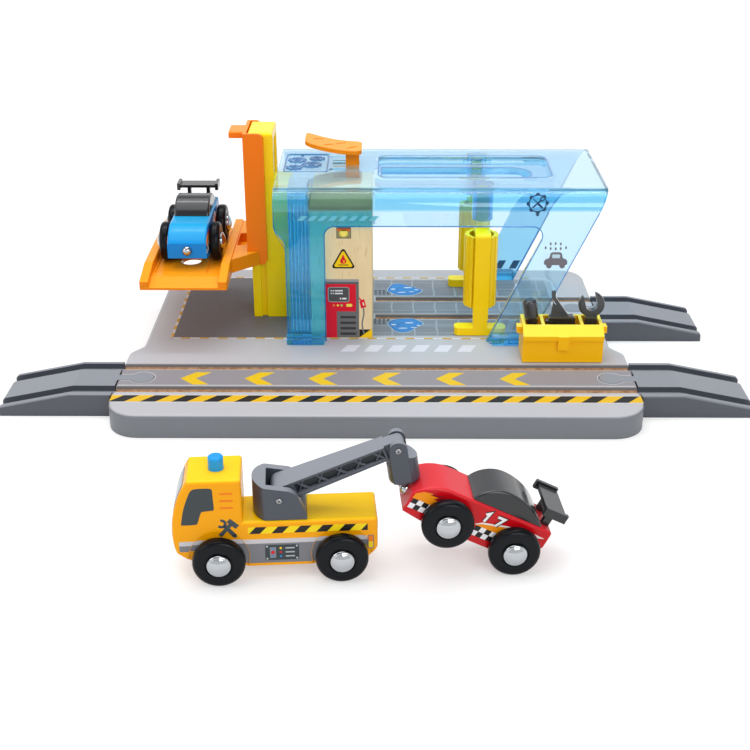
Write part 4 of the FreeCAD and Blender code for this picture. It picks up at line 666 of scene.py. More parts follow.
class Look(Enum):
    """Every finish of the playset."""

    BOARD = BoardPaint("board_grey", "b4b4b9", roughness=0.42, drift=0.04, edge=0.9, side="777b81")
    PARKING = Paving("parking_print", "615f63", roughness=0.5, drift=0.05)
    WASH = WetFloor("wash_print", "72767d", roughness=0.4, drift=0.04)
    RAMP = TopLit("ramp_grey", "444852", roughness=0.36, grain=0.4, edge=0.6, specular=0.7, top="82868f")
    MARKING = Printed("board_ink", "e4e4e6", roughness=0.42, drift=0.04, grain=0.2, specular=0.3)
    INK = Printed("printed_ink", "ffffff", roughness=0.38, drift=0.04, grain=0.2, specular=0.3)
    BEECH = Timber("beech_block", "e2c595", roughness=0.5, grain=0.4, specular=0.3)
    # Painted light: one orange plastic in two copies, the darker for the upright carriage and the paler for the
    # platform and paddle, which face up into the light.
    ORANGE = TopLit("orange_plastic", "f4780a", roughness=0.3, grain=0.15, rubbing=0.03, specular=0.2, top="fb9322")
    ORANGE_LIT = TopLit("orange_plastic_lit", "f68a08", roughness=0.28, grain=0.12, rubbing=0.03, specular=0.2, top="fb9f18")
    YELLOW = TopLit("yellow_plastic", "ffd404", roughness=0.22, grain=0.08, rubbing=0.02, specular=0.25, edge=0.3,
                   top="ffe822")
    TOOLBOX = TopLit("toolbox_yellow", "ffc212", roughness=0.28, grain=0.15, rubbing=0.02, specular=0.2, top="ffe94e")
    STEEL = Metal("pin_steel", "9a9c9f", roughness=0.26)
    TOOL = Finish("tool_black", "26292d", roughness=0.2, coat=0.4, grain=0.15, rubbing=0.04, specular=0.6)
    TRUCK = TopLit("truck_yellow", "fba902", roughness=0.26, grain=0.06, drift=0.03, rubbing=0.015, specular=0.22,
                  top="fdcc08")
    # The beacon's glow is painted light: the blue plastic is no lamp.
    BEACON = Finish("beacon_blue", "0094dc", roughness=0.1, coat=0.35, glow=0.08, grain=0.05, specular=0.2)
    CRANE = TopLit("crane_grey", "3b414c", roughness=0.34, grain=0.2, specular=0.6, edge=0.4, top="858993")
    CHROME = Metal("chrome", "b4b8bc", roughness=0.07, rubbing=0.03, drift=0.03)
    WHEEL = Finish("wheel_black", "0c0f14", roughness=0.3, coat=0.04, grain=0.05, rubbing=0.02, specular=0.15)
    RED = TopLit("car_red", "cc0816", roughness=0.24, coat=0.08, drift=0.02, grain=0.03, rubbing=0.02, specular=0.25,
                top="dc2f3a")
    BLUE = TopLit("car_blue", "0b84da", roughness=0.24, coat=0.06, drift=0.02, grain=0.03, rubbing=0.02, specular=0.2,
                 top="16a2dc")
    CABIN = TopLit("cabin_black", "15171a", roughness=0.22, coat=0.4, grain=0.05, rubbing=0.03, top="3a3c3f")
    GLASS = Finish("windscreen_grey", "52666f", roughness=0.14, coat=0.05, grain=0.1, rubbing=0.02, specular=0.3)
    CANOPY = Zoned("canopy_blue", "e6f5fc", roughness=0.02, tint="c6e7f8", rubbing=0.02)
    RIBBED = FluteShaded("column_blue", "e6f5fc", roughness=0.03, tint="86d6ec", rubbing=0.02)
    # Deep blue of the roof's relief, and painted shade for the canopy's edge lines and the column's flutes.
    DEEP = Clear("canopy_relief_and_edge_shade", "cfeaf8", roughness=0.03, tint="1488cc", rubbing=0.02, clear=0.65)


MATERIALS: dict[Look, bpy.types.Material] = {}


def finish(look: Look) -> bpy.types.Material:
    """Returns a finish's material, built once."""
    if look not in MATERIALS:
        MATERIALS[look] = look.value.material()
    return MATERIALS[look]


def dress(node: str, look: Look) -> None:
    """Gives a solid of the frame its finish.

    Args:
        node: The solid's name.
        look: The finish.
    """
    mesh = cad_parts[node].data
    mesh.materials.clear()
    mesh.materials.append(finish(look))


WHEELSETS = ("truck_front", "truck_rear", "red_car_front", "red_car_rear", "blue_car_front", "blue_car_rear")

SOLIDS: dict[Look, tuple[str, ...]] = {
    Look.BOARD: ("base_board",),
    Look.RAMP: ("front_left_ramp", "front_right_ramp", "rear_ramp"),
    Look.CANOPY: ("canopy",),
    Look.RIBBED: ("ribbed_column",),
    Look.BEECH: ("fuel_block",),
    Look.ORANGE: ("lift_carriage",),
    Look.ORANGE_LIT: ("paddle", "lift_platform"),
    Look.YELLOW: ("lift_tower", "front_brush_bracket", "rear_brush_bracket", "front_brush_roller",
                  "rear_brush_roller"),
    Look.TOOLBOX: ("toolbox",),
    Look.STEEL: ("front_brush_spindle", "rear_brush_spindle", "boom_pin", "head_pin")
    + tuple(w + "_axle" for w in WHEELSETS),
    Look.TOOL: ("screwdriver", "jack", "wrench"),
    Look.TRUCK: ("truck_body",),
    Look.BEACON: ("beacon",),
    Look.CRANE: ("turret", "boom", "magnet_head"),
    Look.CHROME: ("crane_magnet", "red_car_nose_magnet", "blue_car_nose_magnet")
    + tuple(w + "_hubs" for w in WHEELSETS),
    Look.WHEEL: tuple(w + "_wheels" for w in WHEELSETS),
    Look.RED: ("red_car_body",),
    Look.BLUE: ("blue_car_body",),
    Look.CABIN: ("red_car_cabin", "blue_car_cabin", "red_car_spoiler", "blue_car_spoiler"),
}


# Flat shapes, in millimetres


def box(left: float, low: float, right: float, high: float, corner: float = 0.0) -> np.ndarray:
    """Draws a rectangle whose corners are quarter circles.

    Args:
        left: Its lowest first value.
        low: Its lowest second value.
        right: Its highest first value.
        high: Its highest second value.
        corner: The corners' radius.

    Returns:
        The outline, one point a row.
    """
    if not corner:
        return np.array([(left, low), (right, low), (right, high), (left, high)], float)
    angle = np.linspace(0, TURN, 24, endpoint=False)
    way = np.stack([np.cos(angle + 0.001), np.sin(angle + 0.001)], 1)
    middle = np.array([(left + right) / 2, (low + high) / 2])
    half = np.array([(right - left) / 2 - corner, (high - low) / 2 - corner])
    return middle + np.sign(way) * half + way * corner


def disc(x: float, y: float, wide: float, high: float | None = None, count: int = 28) -> np.ndarray:
    """Draws an ellipse: its centre plus the cosine and sine of even steps, times its half sizes.

    Args:
        x: The centre's first value.
        y: The centre's second value.
        wide: The first half size.
        high: The second half size, the first one when left out.
        count: How many points.

    Returns:
        The outline, one point a row.
    """
    angle = np.arange(count) * TURN / count
    return np.stack([x + wide * np.cos(angle), y + (wide if high is None else high) * np.sin(angle)], 1)


def slant(left: float, low: float, wide: float, high: float, lean: float) -> np.ndarray:
    """Draws a leaning bar: a rectangle whose top is moved along by the lean.

    Args:
        left: Where its lower edge starts.
        low: How high its lower edge is.
        wide: How wide it is.
        high: How high it is.
        lean: How far its top is moved along.

    Returns:
        The outline, one point a row.
    """
    return np.array([(left, low), (left + wide, low), (left + wide + lean, low + high), (left + lean, low + high)],
                    float)


def arc(x: float, y: float, radius: float, start: float, end: float, count: int = 14) -> np.ndarray:
    """Draws part of a circle.

    Args:
        x: The centre's first value.
        y: The centre's second value.
        radius: The circle's radius.
        start: The first angle, in degrees.
        end: The last angle, in degrees.
        count: How many points.

    Returns:
        The points, one a row.
    """
    angle = np.radians(np.linspace(start, end, count))
    return np.stack([x + radius * np.cos(angle), y + radius * np.sin(angle)], 1)


def soft(corners: Iterable[Sequence[float]], steps: int = 6) -> np.ndarray:
    """Rounds a closed outline: each stretch is a cubic whose slope at a point joins that point's neighbours.

    Args:
        corners: The points that the outline passes through.
        steps: How many points each stretch gets.

    Returns:
        The outline, one point a row.
    """
    at = np.array(list(corners), float)
    before, after, beyond = np.roll(at, 1, 0), np.roll(at, -1, 0), np.roll(at, -2, 0)
    t = (np.arange(steps) / steps)[None, :, None]
    a, b, c, d = (p[:, None, :] for p in (before, at, after, beyond))
    curve = 0.5 * (2 * b + (c - a) * t + (2 * a - 5 * b + 4 * c - d) * t**2 + (3 * b - a - 3 * c + d) * t**3)
    return curve.reshape(-1, 2)


def stroke(path: Iterable[Sequence[float]], wide: float) -> np.ndarray:
    """Draws a pen line: the path moved half a width to each side of its mean direction.

    Args:
        path: The points that the pen passes.
        wide: The line's width.

    Returns:
        The outline, one point a row.
    """
    at = np.array(list(path), float)
    way = np.diff(at, axis=0)
    way /= np.linalg.norm(way, axis=1)[:, None]
    first, last = np.vstack([way[:1], way]), np.vstack([way, way[-1:]])
    mean = first + last
    mean /= np.linalg.norm(mean, axis=1)[:, None]
    reach = wide / 2 / np.clip((mean * last).sum(1), 0.4, 1.0)
    aside = np.stack([-mean[:, 1], mean[:, 0]], 1) * reach[:, None]
    return np.vstack([at - aside, (at + aside)[::-1]])


def cut(outline: np.ndarray, axis: int, limit: float, below: bool) -> np.ndarray:
    """Cuts a convex outline at a straight line: new points lie where its sides cross it, in proportion.

    Args:
        outline: The outline.
        axis: Which of the two values the limit is for.
        limit: Where the line runs.
        below: Whether the part below the limit is kept.

    Returns:
        What is left of the outline.
    """
    room = (limit - outline[:, axis]) * (1 if below else -1)
    ahead, then = np.roll(outline, -1, 0), np.roll(room, -1)
    inside = room >= 0
    crossed = inside != (then >= 0)
    share = np.where(crossed, room / np.where(crossed, room - then, 1.0), 0.0)
    meeting = outline + (ahead - outline) * share[:, None]
    both = np.stack([outline, meeting], 1).reshape(-1, 2)
    return both[np.stack([inside, crossed], 1).reshape(-1)]


def gear(x: float, y: float, tip: float, root: float, teeth: int, turn: float = 0.0) -> np.ndarray:
    """Draws a gear: the radius is the tip's where a cosine of the angle is high, and the root's elsewhere.

    Args:
        x: The centre's first value.
        y: The centre's second value.
        tip: The radius at a tooth.
        root: The radius between teeth.
        teeth: How many teeth.
        turn: How far it is turned, in degrees.

    Returns:
        The outline, one point a row.
    """
    angle = np.arange(teeth * 8) * TURN / (teeth * 8)
    wave = np.cos(teeth * angle - 0.4)
    radius = root + (tip - root) * np.clip(0.5 + wave * 1.6, 0, 1)
    angle = angle + math.radians(turn)
    return np.stack([x + radius * np.cos(angle), y + radius * np.sin(angle)], 1)


# Faces, meshes and pieces


@dataclass(frozen=True)
class Face:
    """A flat face of the object: a point on it and its two directions, in millimetres."""

    origin: Sequence[float]
    across: Sequence[float]
    up: Sequence[float]

    def lay(self, flat: np.ndarray, height) -> np.ndarray:
        """Lays flat points on the face: both values run along its directions, and the height runs out of it.

        Args:
            flat: The points, one a row.
            height: How far out of the face they lie, one number or one for each.

        Returns:
            The points in metres.
        """
        across, up = unit(self.across), unit(self.up)
        out = np.broadcast_to(np.asarray(height, float), (len(flat),))
        return (np.asarray(self.origin, float) + flat[:, :1] * across + flat[:, 1:] * up
                + out[:, None] * np.cross(across, up)) * MM


@dataclass(frozen=True)
class Stand:
    """A vehicle's own frame: where it stands, how it is turned and how it is tipped."""

    origin: tuple[float, float, float]
    yaw: float
    pitch: float = 0.0

    def axes(self) -> np.ndarray:
        """Returns the vehicle's three directions, one a column."""
        yaw, pitch = math.radians(self.yaw), math.radians(self.pitch)
        return np.array(Matrix.Rotation(yaw, 3, "Z") @ Matrix.Rotation(pitch, 3, "Y"))

    def face(self, at: Sequence[float], across: Sequence[float], up: Sequence[float]) -> Face:
        """Turns a face given in the vehicle's frame into one of the garage's frame.

        Args:
            at: A point on it.
            across: Its first direction.
            up: Its second direction.

        Returns:
            The face.
        """
        axes = self.axes()
        return Face(np.asarray(self.origin) + axes @ np.asarray(at, float), axes @ np.asarray(across, float),
                    axes @ np.asarray(up, float))

    def side(self, half: float, far: bool, x: float = 0.0, z: float = 0.0) -> Face:
        """Finds the face of the near or the far side.

        Args:
            half: How far it lies from the middle plane.
            far: Whether it is the far side.
            x: How far along its point lies.
            z: How high its point lies.

        Returns:
            The face.
        """
        way = 1 if far else -1
        return self.face((x, way * half, z), (-way, 0, 0), (0, 0, 1))


# Where the vehicles stand, in millimetres and degrees: the truck by its front axle, the cars by their rear ones.
# The red car's rear axle lies on the truck's own line. The boom's length and rise place the head's pin.

SIDES = ((False, "near"), (True, "far"))
WHEEL_RADIUS = 10.5
TRUCK_AXLE = (-61.77, -205.74)
TRUCK_YAW = 4.12
TRUCK_WHEELBASE = 48.44
TRUCK_TO_CAR = 117.0
CAR_WHEELBASE = 30.3
CAR_TIP = 27.3
BOOM_LONG = 50.2
BOOM_RISE = 21.4
TURN_OF_TRUCK = math.radians(TRUCK_YAW)
TRUCK_STAND = Stand((*TRUCK_AXLE, 0.0), TRUCK_YAW)
RED_STAND = Stand((TRUCK_AXLE[0] + TRUCK_TO_CAR * math.cos(TURN_OF_TRUCK),
                   TRUCK_AXLE[1] + TRUCK_TO_CAR * math.sin(TURN_OF_TRUCK), WHEEL_RADIUS), TRUCK_YAW, CAR_TIP)
BLUE_STAND = Stand((-101.75, 51.3, 58.1), 90.0)


def piece(name: str, points: np.ndarray, faces: Sequence, look: Look, body: str,
          smooth: bool = False) -> bpy.types.Object:
    """Makes a mesh into a piece that rides on a body.

    Args:
        name: The piece's name.
        points: Its points, in metres.
        faces: Its faces.
        look: Its finish.
        body: The body that it rides on.
        smooth: Whether it is shaded round.

    Returns:
        The piece.
    """
    mesh = bpy.data.meshes.new(name)
    mesh.from_pydata(np.asarray(points).tolist(), [], list(faces))
    mesh.polygons.foreach_set("use_smooth", np.full(len(mesh.polygons), smooth))
    mesh.materials.append(finish(look))
    made = bpy.data.objects.new(name, mesh)
    bpy.context.scene.collection.objects.link(made)
    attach(made, body)
    log.info("%s: %d faces on %s", name, len(mesh.polygons), body)
    return made


class Print:
    """Thin ink on flat faces, gathered into one mesh.

    Each area is a closed prism: its outline lies once just under the face and once just over it, a wall joins
    the two, and a later layer stands a little higher.
    """

    STEP = 0.03
    SUNK = 0.04

    def __init__(self, name: str, body: str, slot: str, look: Look = Look.INK) -> None:
        """Starts with no ink."""
        self.name, self.body, self.slot, self.look = name, body, slot, look
        self.points: list[np.ndarray] = []
        self.inks: list[np.ndarray] = []
        self.faces: list[list[int]] = []
        self.count = 0
        self.face = Face((0, 0, 0), (1, 0, 0), (0, 1, 0))
        self.mirrored = False

    def on(self, face: Face, mirrored: bool = False) -> "Print":
        """Chooses the face for what follows.

        Args:
            face: The face.
            mirrored: Whether first values change sign, as on a vehicle's far side.

        Returns:
            The print itself.
        """
        self.face, self.mirrored = face, mirrored
        return self

    def settle(self, outline: np.ndarray) -> np.ndarray:
        """Mirrors an outline where needed and makes it run anticlockwise, so its area is positive."""
        flat = np.asarray(outline, float) * ((-1, 1) if self.mirrored else (1, 1))
        x, y = flat[:, 0], flat[:, 1]
        area = (x * np.roll(y, -1) - y * np.roll(x, -1)).sum()
        return flat[::-1] if area < 0 else flat

    def fill(self, outline: np.ndarray, ink: str, layer: int = 0, high: float = 0.0) -> None:
        """Fills an outline.

        Args:
            outline: The outline.
            ink: Its screen colour.
            layer: How many layers lie under it.
            high: How far it stands out besides.
        """
        flat = self.settle(outline)
        if len(flat) < 3:
            return
        size, base = len(flat), self.count
        ring = np.arange(size)
        ahead = np.roll(ring, -1)
        self.points += [self.face.lay(flat, -self.SUNK), self.face.lay(flat, self.STEP * (layer + 1) + high)]
        self.faces += [(base + size + ring).tolist(), (base + ring[::-1]).tolist()]
        self.faces += (np.stack([ring, ahead, ahead + size, ring + size], 1) + base).tolist()
        self.inks.append(np.tile(linear(ink), (2 * size, 1)))
        self.count += 2 * size

    def rim(self, outer: np.ndarray, inner: np.ndarray, ink: str, layer: int = 0, high: float = 0.0) -> None:
        """Fills between two outlines that have as many points each.

        Args:
            outer: The outer outline.
            inner: The inner outline.
            ink: Its screen colour.
            layer: How many layers lie under it.
            high: How far it stands out besides.
        """
        out, hole = self.settle(outer), self.settle(inner)
        size, base = len(out), self.count
        ring = np.arange(size)
        ahead = np.roll(ring, -1)
        top = self.STEP * (layer + 1) + high
        self.points += [self.face.lay(out, -self.SUNK), self.face.lay(out, top),
                        self.face.lay(hole, -self.SUNK), self.face.lay(hole, top)]
        for low, far, near, back in ((0, 0, 1, 1), (1, 1, 3, 3), (3, 3, 2, 2), (2, 2, 0, 0)):
            wall = np.stack([ring + low * size, ahead + far * size, ahead + near * size, ring + back * size], 1)
            self.faces += (wall + base).tolist()
        self.inks.append(np.tile(linear(ink), (4 * size, 1)))
        self.count += 4 * size

    def build(self) -> bpy.types.Object:
        """Makes the mesh and gives each point its ink.

        Returns:
            The piece.
        """
        made = piece(self.name, np.vstack(self.points), self.faces, self.look, self.body)
        ink = made.data.color_attributes.new("ink", "FLOAT_COLOR", "POINT")
        ink.data.foreach_set("color", np.vstack(self.inks).astype(np.float32).ravel())
        return made


def turned(name: str, profile: Sequence[Sequence[float]], face: Face, look: Look, body: str, slot: str,
           count: int = 36) -> bpy.types.Object:
    """Turns a profile round a face's normal: its points become rings, and both ends close on the axis.

    Args:
        name: The piece's name.
        profile: Radius and height, from the foot to the top.
        face: The face whose point is the axis.
        look: The finish.
        body: The body that it rides on.
        slot: The record's material slot; not used.
        count: How many points a ring has.

    Returns:
        The piece.
    """
    shape = np.array(profile, float)
    around = disc(0, 0, 1.0, count=count)
    rings = (shape[:, 0, None, None] * around[None]).reshape(-1, 2)
    ends = np.zeros((2, 2))
    heights = np.concatenate([np.repeat(shape[:, 1], count), shape[[0, -1], 1]])
    points = face.lay(np.vstack([rings, ends]), heights)
    step = np.arange(count)
    ahead = np.roll(step, -1)
    rows = (np.arange(len(shape) - 1) * count)[:, None]
    walls = np.stack([rows + step, rows + ahead, rows + ahead + count, rows + step + count], 2).reshape(-1, 4)
    foot, top = len(rings), len(rings) + 1
    last = (len(shape) - 1) * count
    caps = np.vstack([np.stack([ahead, step, np.full(count, foot)], 1),
                      np.stack([step + last, ahead + last, np.full(count, top)], 1)])
    return piece(name, points, walls.tolist() + caps.tolist(), look, body, smooth=True)


# Sub-assemblies


@dataclass
class TrackBoard:
    """What is printed on the board.

    Attributes:
        top: The height of its upper face.
        half: Half its length at the front.
        front_track: Where the front track's centre line runs.
        chevrons: Where the arrows' tips are.
        tape: The lower and upper edge of the black and yellow tape.
        yard: The marked yard: left, front, right and rear line.
        dash: A yellow dash's length and the step to the next one.
        tile: Where the first tile joint is and the step to the next one.
        wash: The wash floor: left, front, right and rear edge.
        bands: The floor strips beside and between the rear track's grooves.
    """

    top: float = 12.0
    half: float = 131.1
    front_track: float = -56.2
    chevrons: tuple[float, ...] = (-99.5, -67.0, -34.7, -2.3, 30.2, 62.6)
    tape: tuple[float, float] = (-83.4, -76.4)
    yard: tuple[float, float, float, float] = (-111.7, -6.8, 104.9, 83.6)
    dash: tuple[float, float] = (5.1, 10.17)
    tile: tuple[float, float] = (8.4, 12.39)
    wash: tuple[float, float, float, float] = (-2.0, -3.4, 100.6, 80.2)
    bands: tuple[tuple[float, float], ...] = ((-3.4, 19.3), (27.9, 45.4), (53.9, 80.2))

    def build(self) -> None:
        """Prints the board."""
        self.face = Face((0, 0, self.top), (1, 0, 0), (0, 1, 0))
        self.marks = Print("board_markings", "garage", "board_paint", Look.MARKING).on(self.face)
        self.road()
        self.tape_line()
        self.yard_lines()
        self.crossing()
        self.wash_floor()
        self.puddles()
        self.marks.build()
        self.parking()

    def road(self) -> None:
        """Prints the strip between the front grooves, notched round both sockets, and its arrows."""
        low, high, centre = self.front_track - 8.3, self.front_track + 8.9, self.front_track
        socket, bend = self.half - 12.0, 6.9
        open_angle = math.degrees(math.asin(4.0 / bend))
        right = arc(socket, centre, bend, open_angle - 360, -open_angle, 26)[::-1]
        left = right * (-1, -1) + (0, 2 * centre)
        end = self.half - 0.6
        corners = [[(-end, low), (end, low), (end, centre - 4.0)], right, [(end, centre + 4.0), (end, high),
                   (-end, high), (-end, centre + 4.0)], left, [(-end, centre - 4.0)]]
        self.marks.fill(np.vstack(corners), "9b989d")
        point = np.array([(0, 0), (7.1, 7.2), (15.1, 7.2), (7.8, 0), (15.1, -7.2), (7.1, -7.2)], float)
        for tip in self.chevrons:
            self.marks.fill(point + (tip, centre - 0.9), "f6cd12", 1)

    def tape_line(self) -> None:
        """Prints the tape: a white band under leaning yellow and black bars."""
        low, high = self.tape
        self.marks.fill(box(-self.half + 0.3, low - 0.6, self.half - 0.3, high + 0.6), "e3e4e6")
        for number in range(-1, 35):
            bar = slant(-131.3 + 7.72 * number, low, 7.72, high - low, 6.6)
            bar = cut(cut(bar, 0, -self.half + 0.3, False), 0, self.half - 0.3, True)
            if len(bar) > 2:
                self.marks.fill(bar, "17191b" if number % 2 == 0 else "f6c40a", 1)

    def yard_lines(self) -> None:
        """Prints the white line round the yard, rounded at its right end, and its yellow dashes."""
        left, front, right, rear = self.yard
        half, bend = 0.7, 8.0
        rows = []
        for aside in (-half, half):
            low = arc(right - bend, front + bend, bend + aside, -90, 0, 9)
            high = arc(right - bend, rear - bend, bend + aside, 0, 90, 9)
            rows.append((low, high, [(left - aside, front - aside)], [(left - aside, rear + aside)]))
        (in_low, in_high, in_front, in_rear), (out_low, out_high, out_front, out_rear) = rows
        self.marks.fill(np.vstack([out_front, out_low, [(right + half, 18.0), (right - half, 18.0)],
                                   in_low[::-1], in_front]), "eceaec", 1)
        self.marks.fill(np.vstack([out_rear, in_rear, in_high[::-1], [(right - half, 55.0), (right + half, 55.0)],
                                   out_high]), "eceaec", 1)
        self.marks.fill(box(left - half, front - half, left + half, rear + half), "eceaec", 1)
        long, step = self.dash
        for number in range(20):
            start = -106.7 + step * number
            if start + long > right - bend:
                continue
            for line in (front, rear):
                self.marks.fill(box(start, line - half, start + long, line + half), "eab818", 2)
        for number in range(9):
            start = -5.3 + step * number
            self.marks.fill(box(left - half, start, left + half, start + long), "eab818", 2)

    def crossing(self) -> None:
        """Prints the six leaning bars of the crossing."""
        for number in range(6):
            self.marks.fill(slant(-19.3 + 12.4 * number, -24.0, 7.3, 8.5, 3.5), "ebe9f0")

    def wash_floor(self) -> None:
        """Prints the wash floor's strips, its tile joints, its drains and the dark bars by the right leg."""
        left, _, right, _ = self.wash
        floor = Print("wash_floor", "garage", "board_paint", Look.WASH).on(self.face)
        for low, high in self.bands:
            floor.fill(box(left, low, right, high), "85888e")
        floor.build()
        first, step = self.tile
        for number in range(8):
            x = first + step * number
            for low, high in self.bands:
                middle = (low + high) / 2
                path = [(x, low + 0.2), (x + 0.25, (low + middle) / 2), (x - 0.3, middle), (x + 0.2, high - 0.2)]
                self.marks.fill(stroke(path, 0.95), "b3bac1", 1)
        for y in (76.6, 65.2, 33.0, 11.2, 0.6):
            self.marks.fill(box(left, y - 0.4, right, y + 0.4), "a9b0b8", 1)
        for y in (45.0, 28.3, -3.0, 54.3, 18.9, 79.8):
            self.marks.fill(box(left, y - 0.35, right, y + 0.35), "aeb4bb", 1)
        for low in (56.4, 12.6):
            for number in range(4):
                start = -1.8 + 2.45 * number
                self.marks.fill(box(start, low, start + 1.45, low + 7.8), "5d6269", 2)
        for number in range(3):
            self.marks.fill(slant(66.6 + 8.0 * number, 5.9, 4.4, 13.2, 3.6), "5f5b60", 2)

    def puddles(self) -> None:
        """Prints two puddles: a pale edge, blue water, darker swirls and white glints."""
        shapes = (
            ([(6.1, 63.1), (7.7, 69.7), (9.7, 73.3), (13.3, 73.9), (17.5, 71.2), (22.9, 67.1), (26.2, 62.8),
              (23.0, 57.6), (18.0, 55.5), (11.8, 56.2), (8.0, 60.0)], 64.4),
            ([(6.2, 13.7), (8.4, 17.9), (12.1, 19.9), (16.4, 20.6), (20.6, 20.0), (25.5, 13.6), (21.6, 8.4),
              (19.1, 3.9), (14.9, 1.5), (10.8, 2.8), (8.2, 7.6)], 11.4),
        )
        for outline, middle in shapes:
            water = soft(outline)
            centre = np.array([15.8, middle])
            self.marks.fill(centre + (water - centre) * 1.05, "c3e2f3", 3)
            self.marks.fill(water, "1c73bd", 4)
            self.marks.fill(centre + (water - centre) * 0.9, "2c93dc", 5)
            swirl = arc(centre[0] + 0.5, centre[1] - 0.8, 4.6, 120, 300, 12)
            self.marks.fill(stroke(swirl, 0.55), "1c73bd", 6)
            self.marks.fill(stroke(arc(centre[0] + 1.0, centre[1] + 1.0, 2.3, -30, 170, 9), 0.5), "1c73bd", 6)
            for x, y, wide, high in ((-6.6, 0.4, 1.5, 0.8), (-1.4, -4.6, 2.6, 0.6), (2.2, 2.9, 2.4, 0.75),
                                     (7.3, -0.6, 1.1, 0.6), (4.4, -3.6, 1.6, 0.4)):
                self.marks.fill(disc(centre[0] + x, centre[1] + y, wide, high, 14), "f4fafd", 7)

    def parking(self) -> None:
        """Prints the dark paving inside the yard, up to the wash floor."""
        left, front, _, rear = self.yard
        paving = Print("parking_floor", "garage", "board_paint", Look.PARKING).on(self.face)
        paving.fill(box(left + 0.7, front + 0.7, -2.2, rear - 0.7), "706d71")
        paving.build()


@dataclass
class FuelBlock:
    """What is printed on the wooden block's front.

    Attributes:
        front: Where the face lies.
        pump: The pump's left, low, right and high edge.
    """

    front: float = -6.4
    pump: tuple[float, float, float, float] = (-28.0, 12.4, -9.6, 46.3)

    def build(self) -> None:
        """Prints the lamp, the drop sign, the pump with its hose, and the marked corner."""
        self.art = Print("fuel_block_print", "garage", "beech").on(Face((0, self.front, 0), (1, 0, 0), (0, 0, 1)))
        self.lamp()
        self.sign()
        self.pump_case()
        self.hose()
        self.art.build()

    def lamp(self) -> None:
        """Prints the lamp: a dark box, its glow, a bright globe and an orange lid."""
        fill = self.art.fill
        fill(box(-21.2, 69.2, -13.5, 75.4, 0.3), "4a4d4a")
        fill(box(-20.9, 69.6, -13.8, 73.4), "8c8560", 1)
        fill(disc(-17.4, 71.9, 2.6, 2.2), "c5ae55", 2)
        fill(cut(disc(-17.4, 72.4, 1.95, 2.1), 1, 73.4, True), "fbe76a", 3)
        fill(box(-20.9, 73.4, -13.8, 74.6), "f0661a", 2)

    def sign(self) -> None:
        """Prints the sign: a yellow triangle with a black edge and a red drop over a bar."""
        fill = self.art.fill
        for spread, ink, layer in ((1.0, "14130f", 0), (0.8, "fbd003", 1)):
            corners = [arc(-17.75, 62.2, 1.15 * spread, 150, 30, 6),
                       arc(-13.0, 53.6, 1.15 * spread, 30, -90, 6), arc(-22.5, 53.6, 1.15 * spread, 270, 150, 6)]
            centre = np.array([-17.75, 56.5])
            outline = np.vstack(corners)
            fill(centre + (outline - centre) * (1.0 if layer == 0 else 0.84), ink, layer)
        drop = soft([(-17.8, 60.2), (-16.9, 58.2), (-16.1, 56.6), (-16.6, 55.5), (-17.8, 55.1), (-19.0, 55.5),
                     (-19.5, 56.6), (-18.7, 58.2)])
        fill(drop, "dd1b2c", 2)
        fill(disc(-17.4, 56.4, 0.5, 0.7, 12), "f7b21a", 3)
        fill(box(-20.4, 54.2, -15.1, 54.65), "2a2413", 2)

    def pump_case(self) -> None:
        """Prints the pump: grey frame, red face, screen, lights and vents."""
        fill = self.art.fill
        left, low, right, high = self.pump
        fill(box(left, low, right, high), "6b6c6e")
        fill(box(left, 44.8, right, high), "9a9a9c", 1)
        fill(box(left, 43.6, right - 0.6, 44.8), "566064", 1)
        fill(np.array([(left, low), (-21.6, low), (-21.6, 27.8), (-11.2, 27.8), (-11.2, 43.6), (left, 43.6)]),
             "db102d", 2)
        fill(box(left, low, left + 0.8, 43.6), "b10d25", 3)
        fill(box(-26.2, 33.2, -14.7, 41.9, 1.5), "8fa3a6", 3)
        fill(box(-25.8, 33.6, -15.1, 41.5, 1.2), "4e4d50", 4)
        for y in (39.8, 38.2):
            for start, end in ((-24.7, -24.0), (-23.5, -22.9), (-22.4, -18.2)):
                fill(box(start, y - 0.4, end, y + 0.4), "dfe2e4", 5)
        fill(box(-19.8, 34.8, -19.1, 35.7), "f4f5f6", 5)
        fill(box(-18.5, 34.8, -16.3, 35.7), "f4f5f6", 5)
        for x, ink in ((-23.1, "e98a3c"), (-20.9, "f7e05a"), (-18.9, "8ad06a")):
            fill(disc(x, 31.3, 0.6, count=14), ink, 3)
        fill(box(-16.5, 30.5, -13.2, 32.2, 0.8), "f7e05a", 3)
        for y in (24.4, 21.1, 17.9, 14.7):
            fill(box(-19.7, y - 0.7, -11.3, y + 0.7, 0.2), "3b3837", 3)

    def hose(self) -> None:
        """Prints the nozzle, its hose and the black and yellow corner."""
        fill = self.art.fill
        fill(np.array([(-9.5, 12.4), (-2.5, 12.4), (-2.5, 17.2), (-9.5, 17.2)]), "1a1612")
        fill(np.array([(-9.5, 12.4), (-2.5, 12.4), (-2.5, 17.2), (-3.2, 17.2)]), "fbcb06", 1)
        path = soft([(-7.3, 29.6), (-7.0, 26.6), (-7.4, 24.0), (-7.9, 21.0), (-7.7, 18.2), (-6.8, 15.6)])[:31]
        fill(stroke(path, 0.75), "77787c", 2)
        fill(np.array([(-9.5, 36.2), (-8.2, 34.4), (-6.8, 34.9), (-5.7, 30.4), (-8.4, 29.6), (-9.3, 33.2),
                       (-8.9, 34.2), (-9.5, 34.9)]), "de1530", 3)
        fill(np.array([(-7.3, 33.4), (-6.6, 31.3), (-7.2, 31.1), (-7.8, 32.8)]), "f3dfcf", 4)


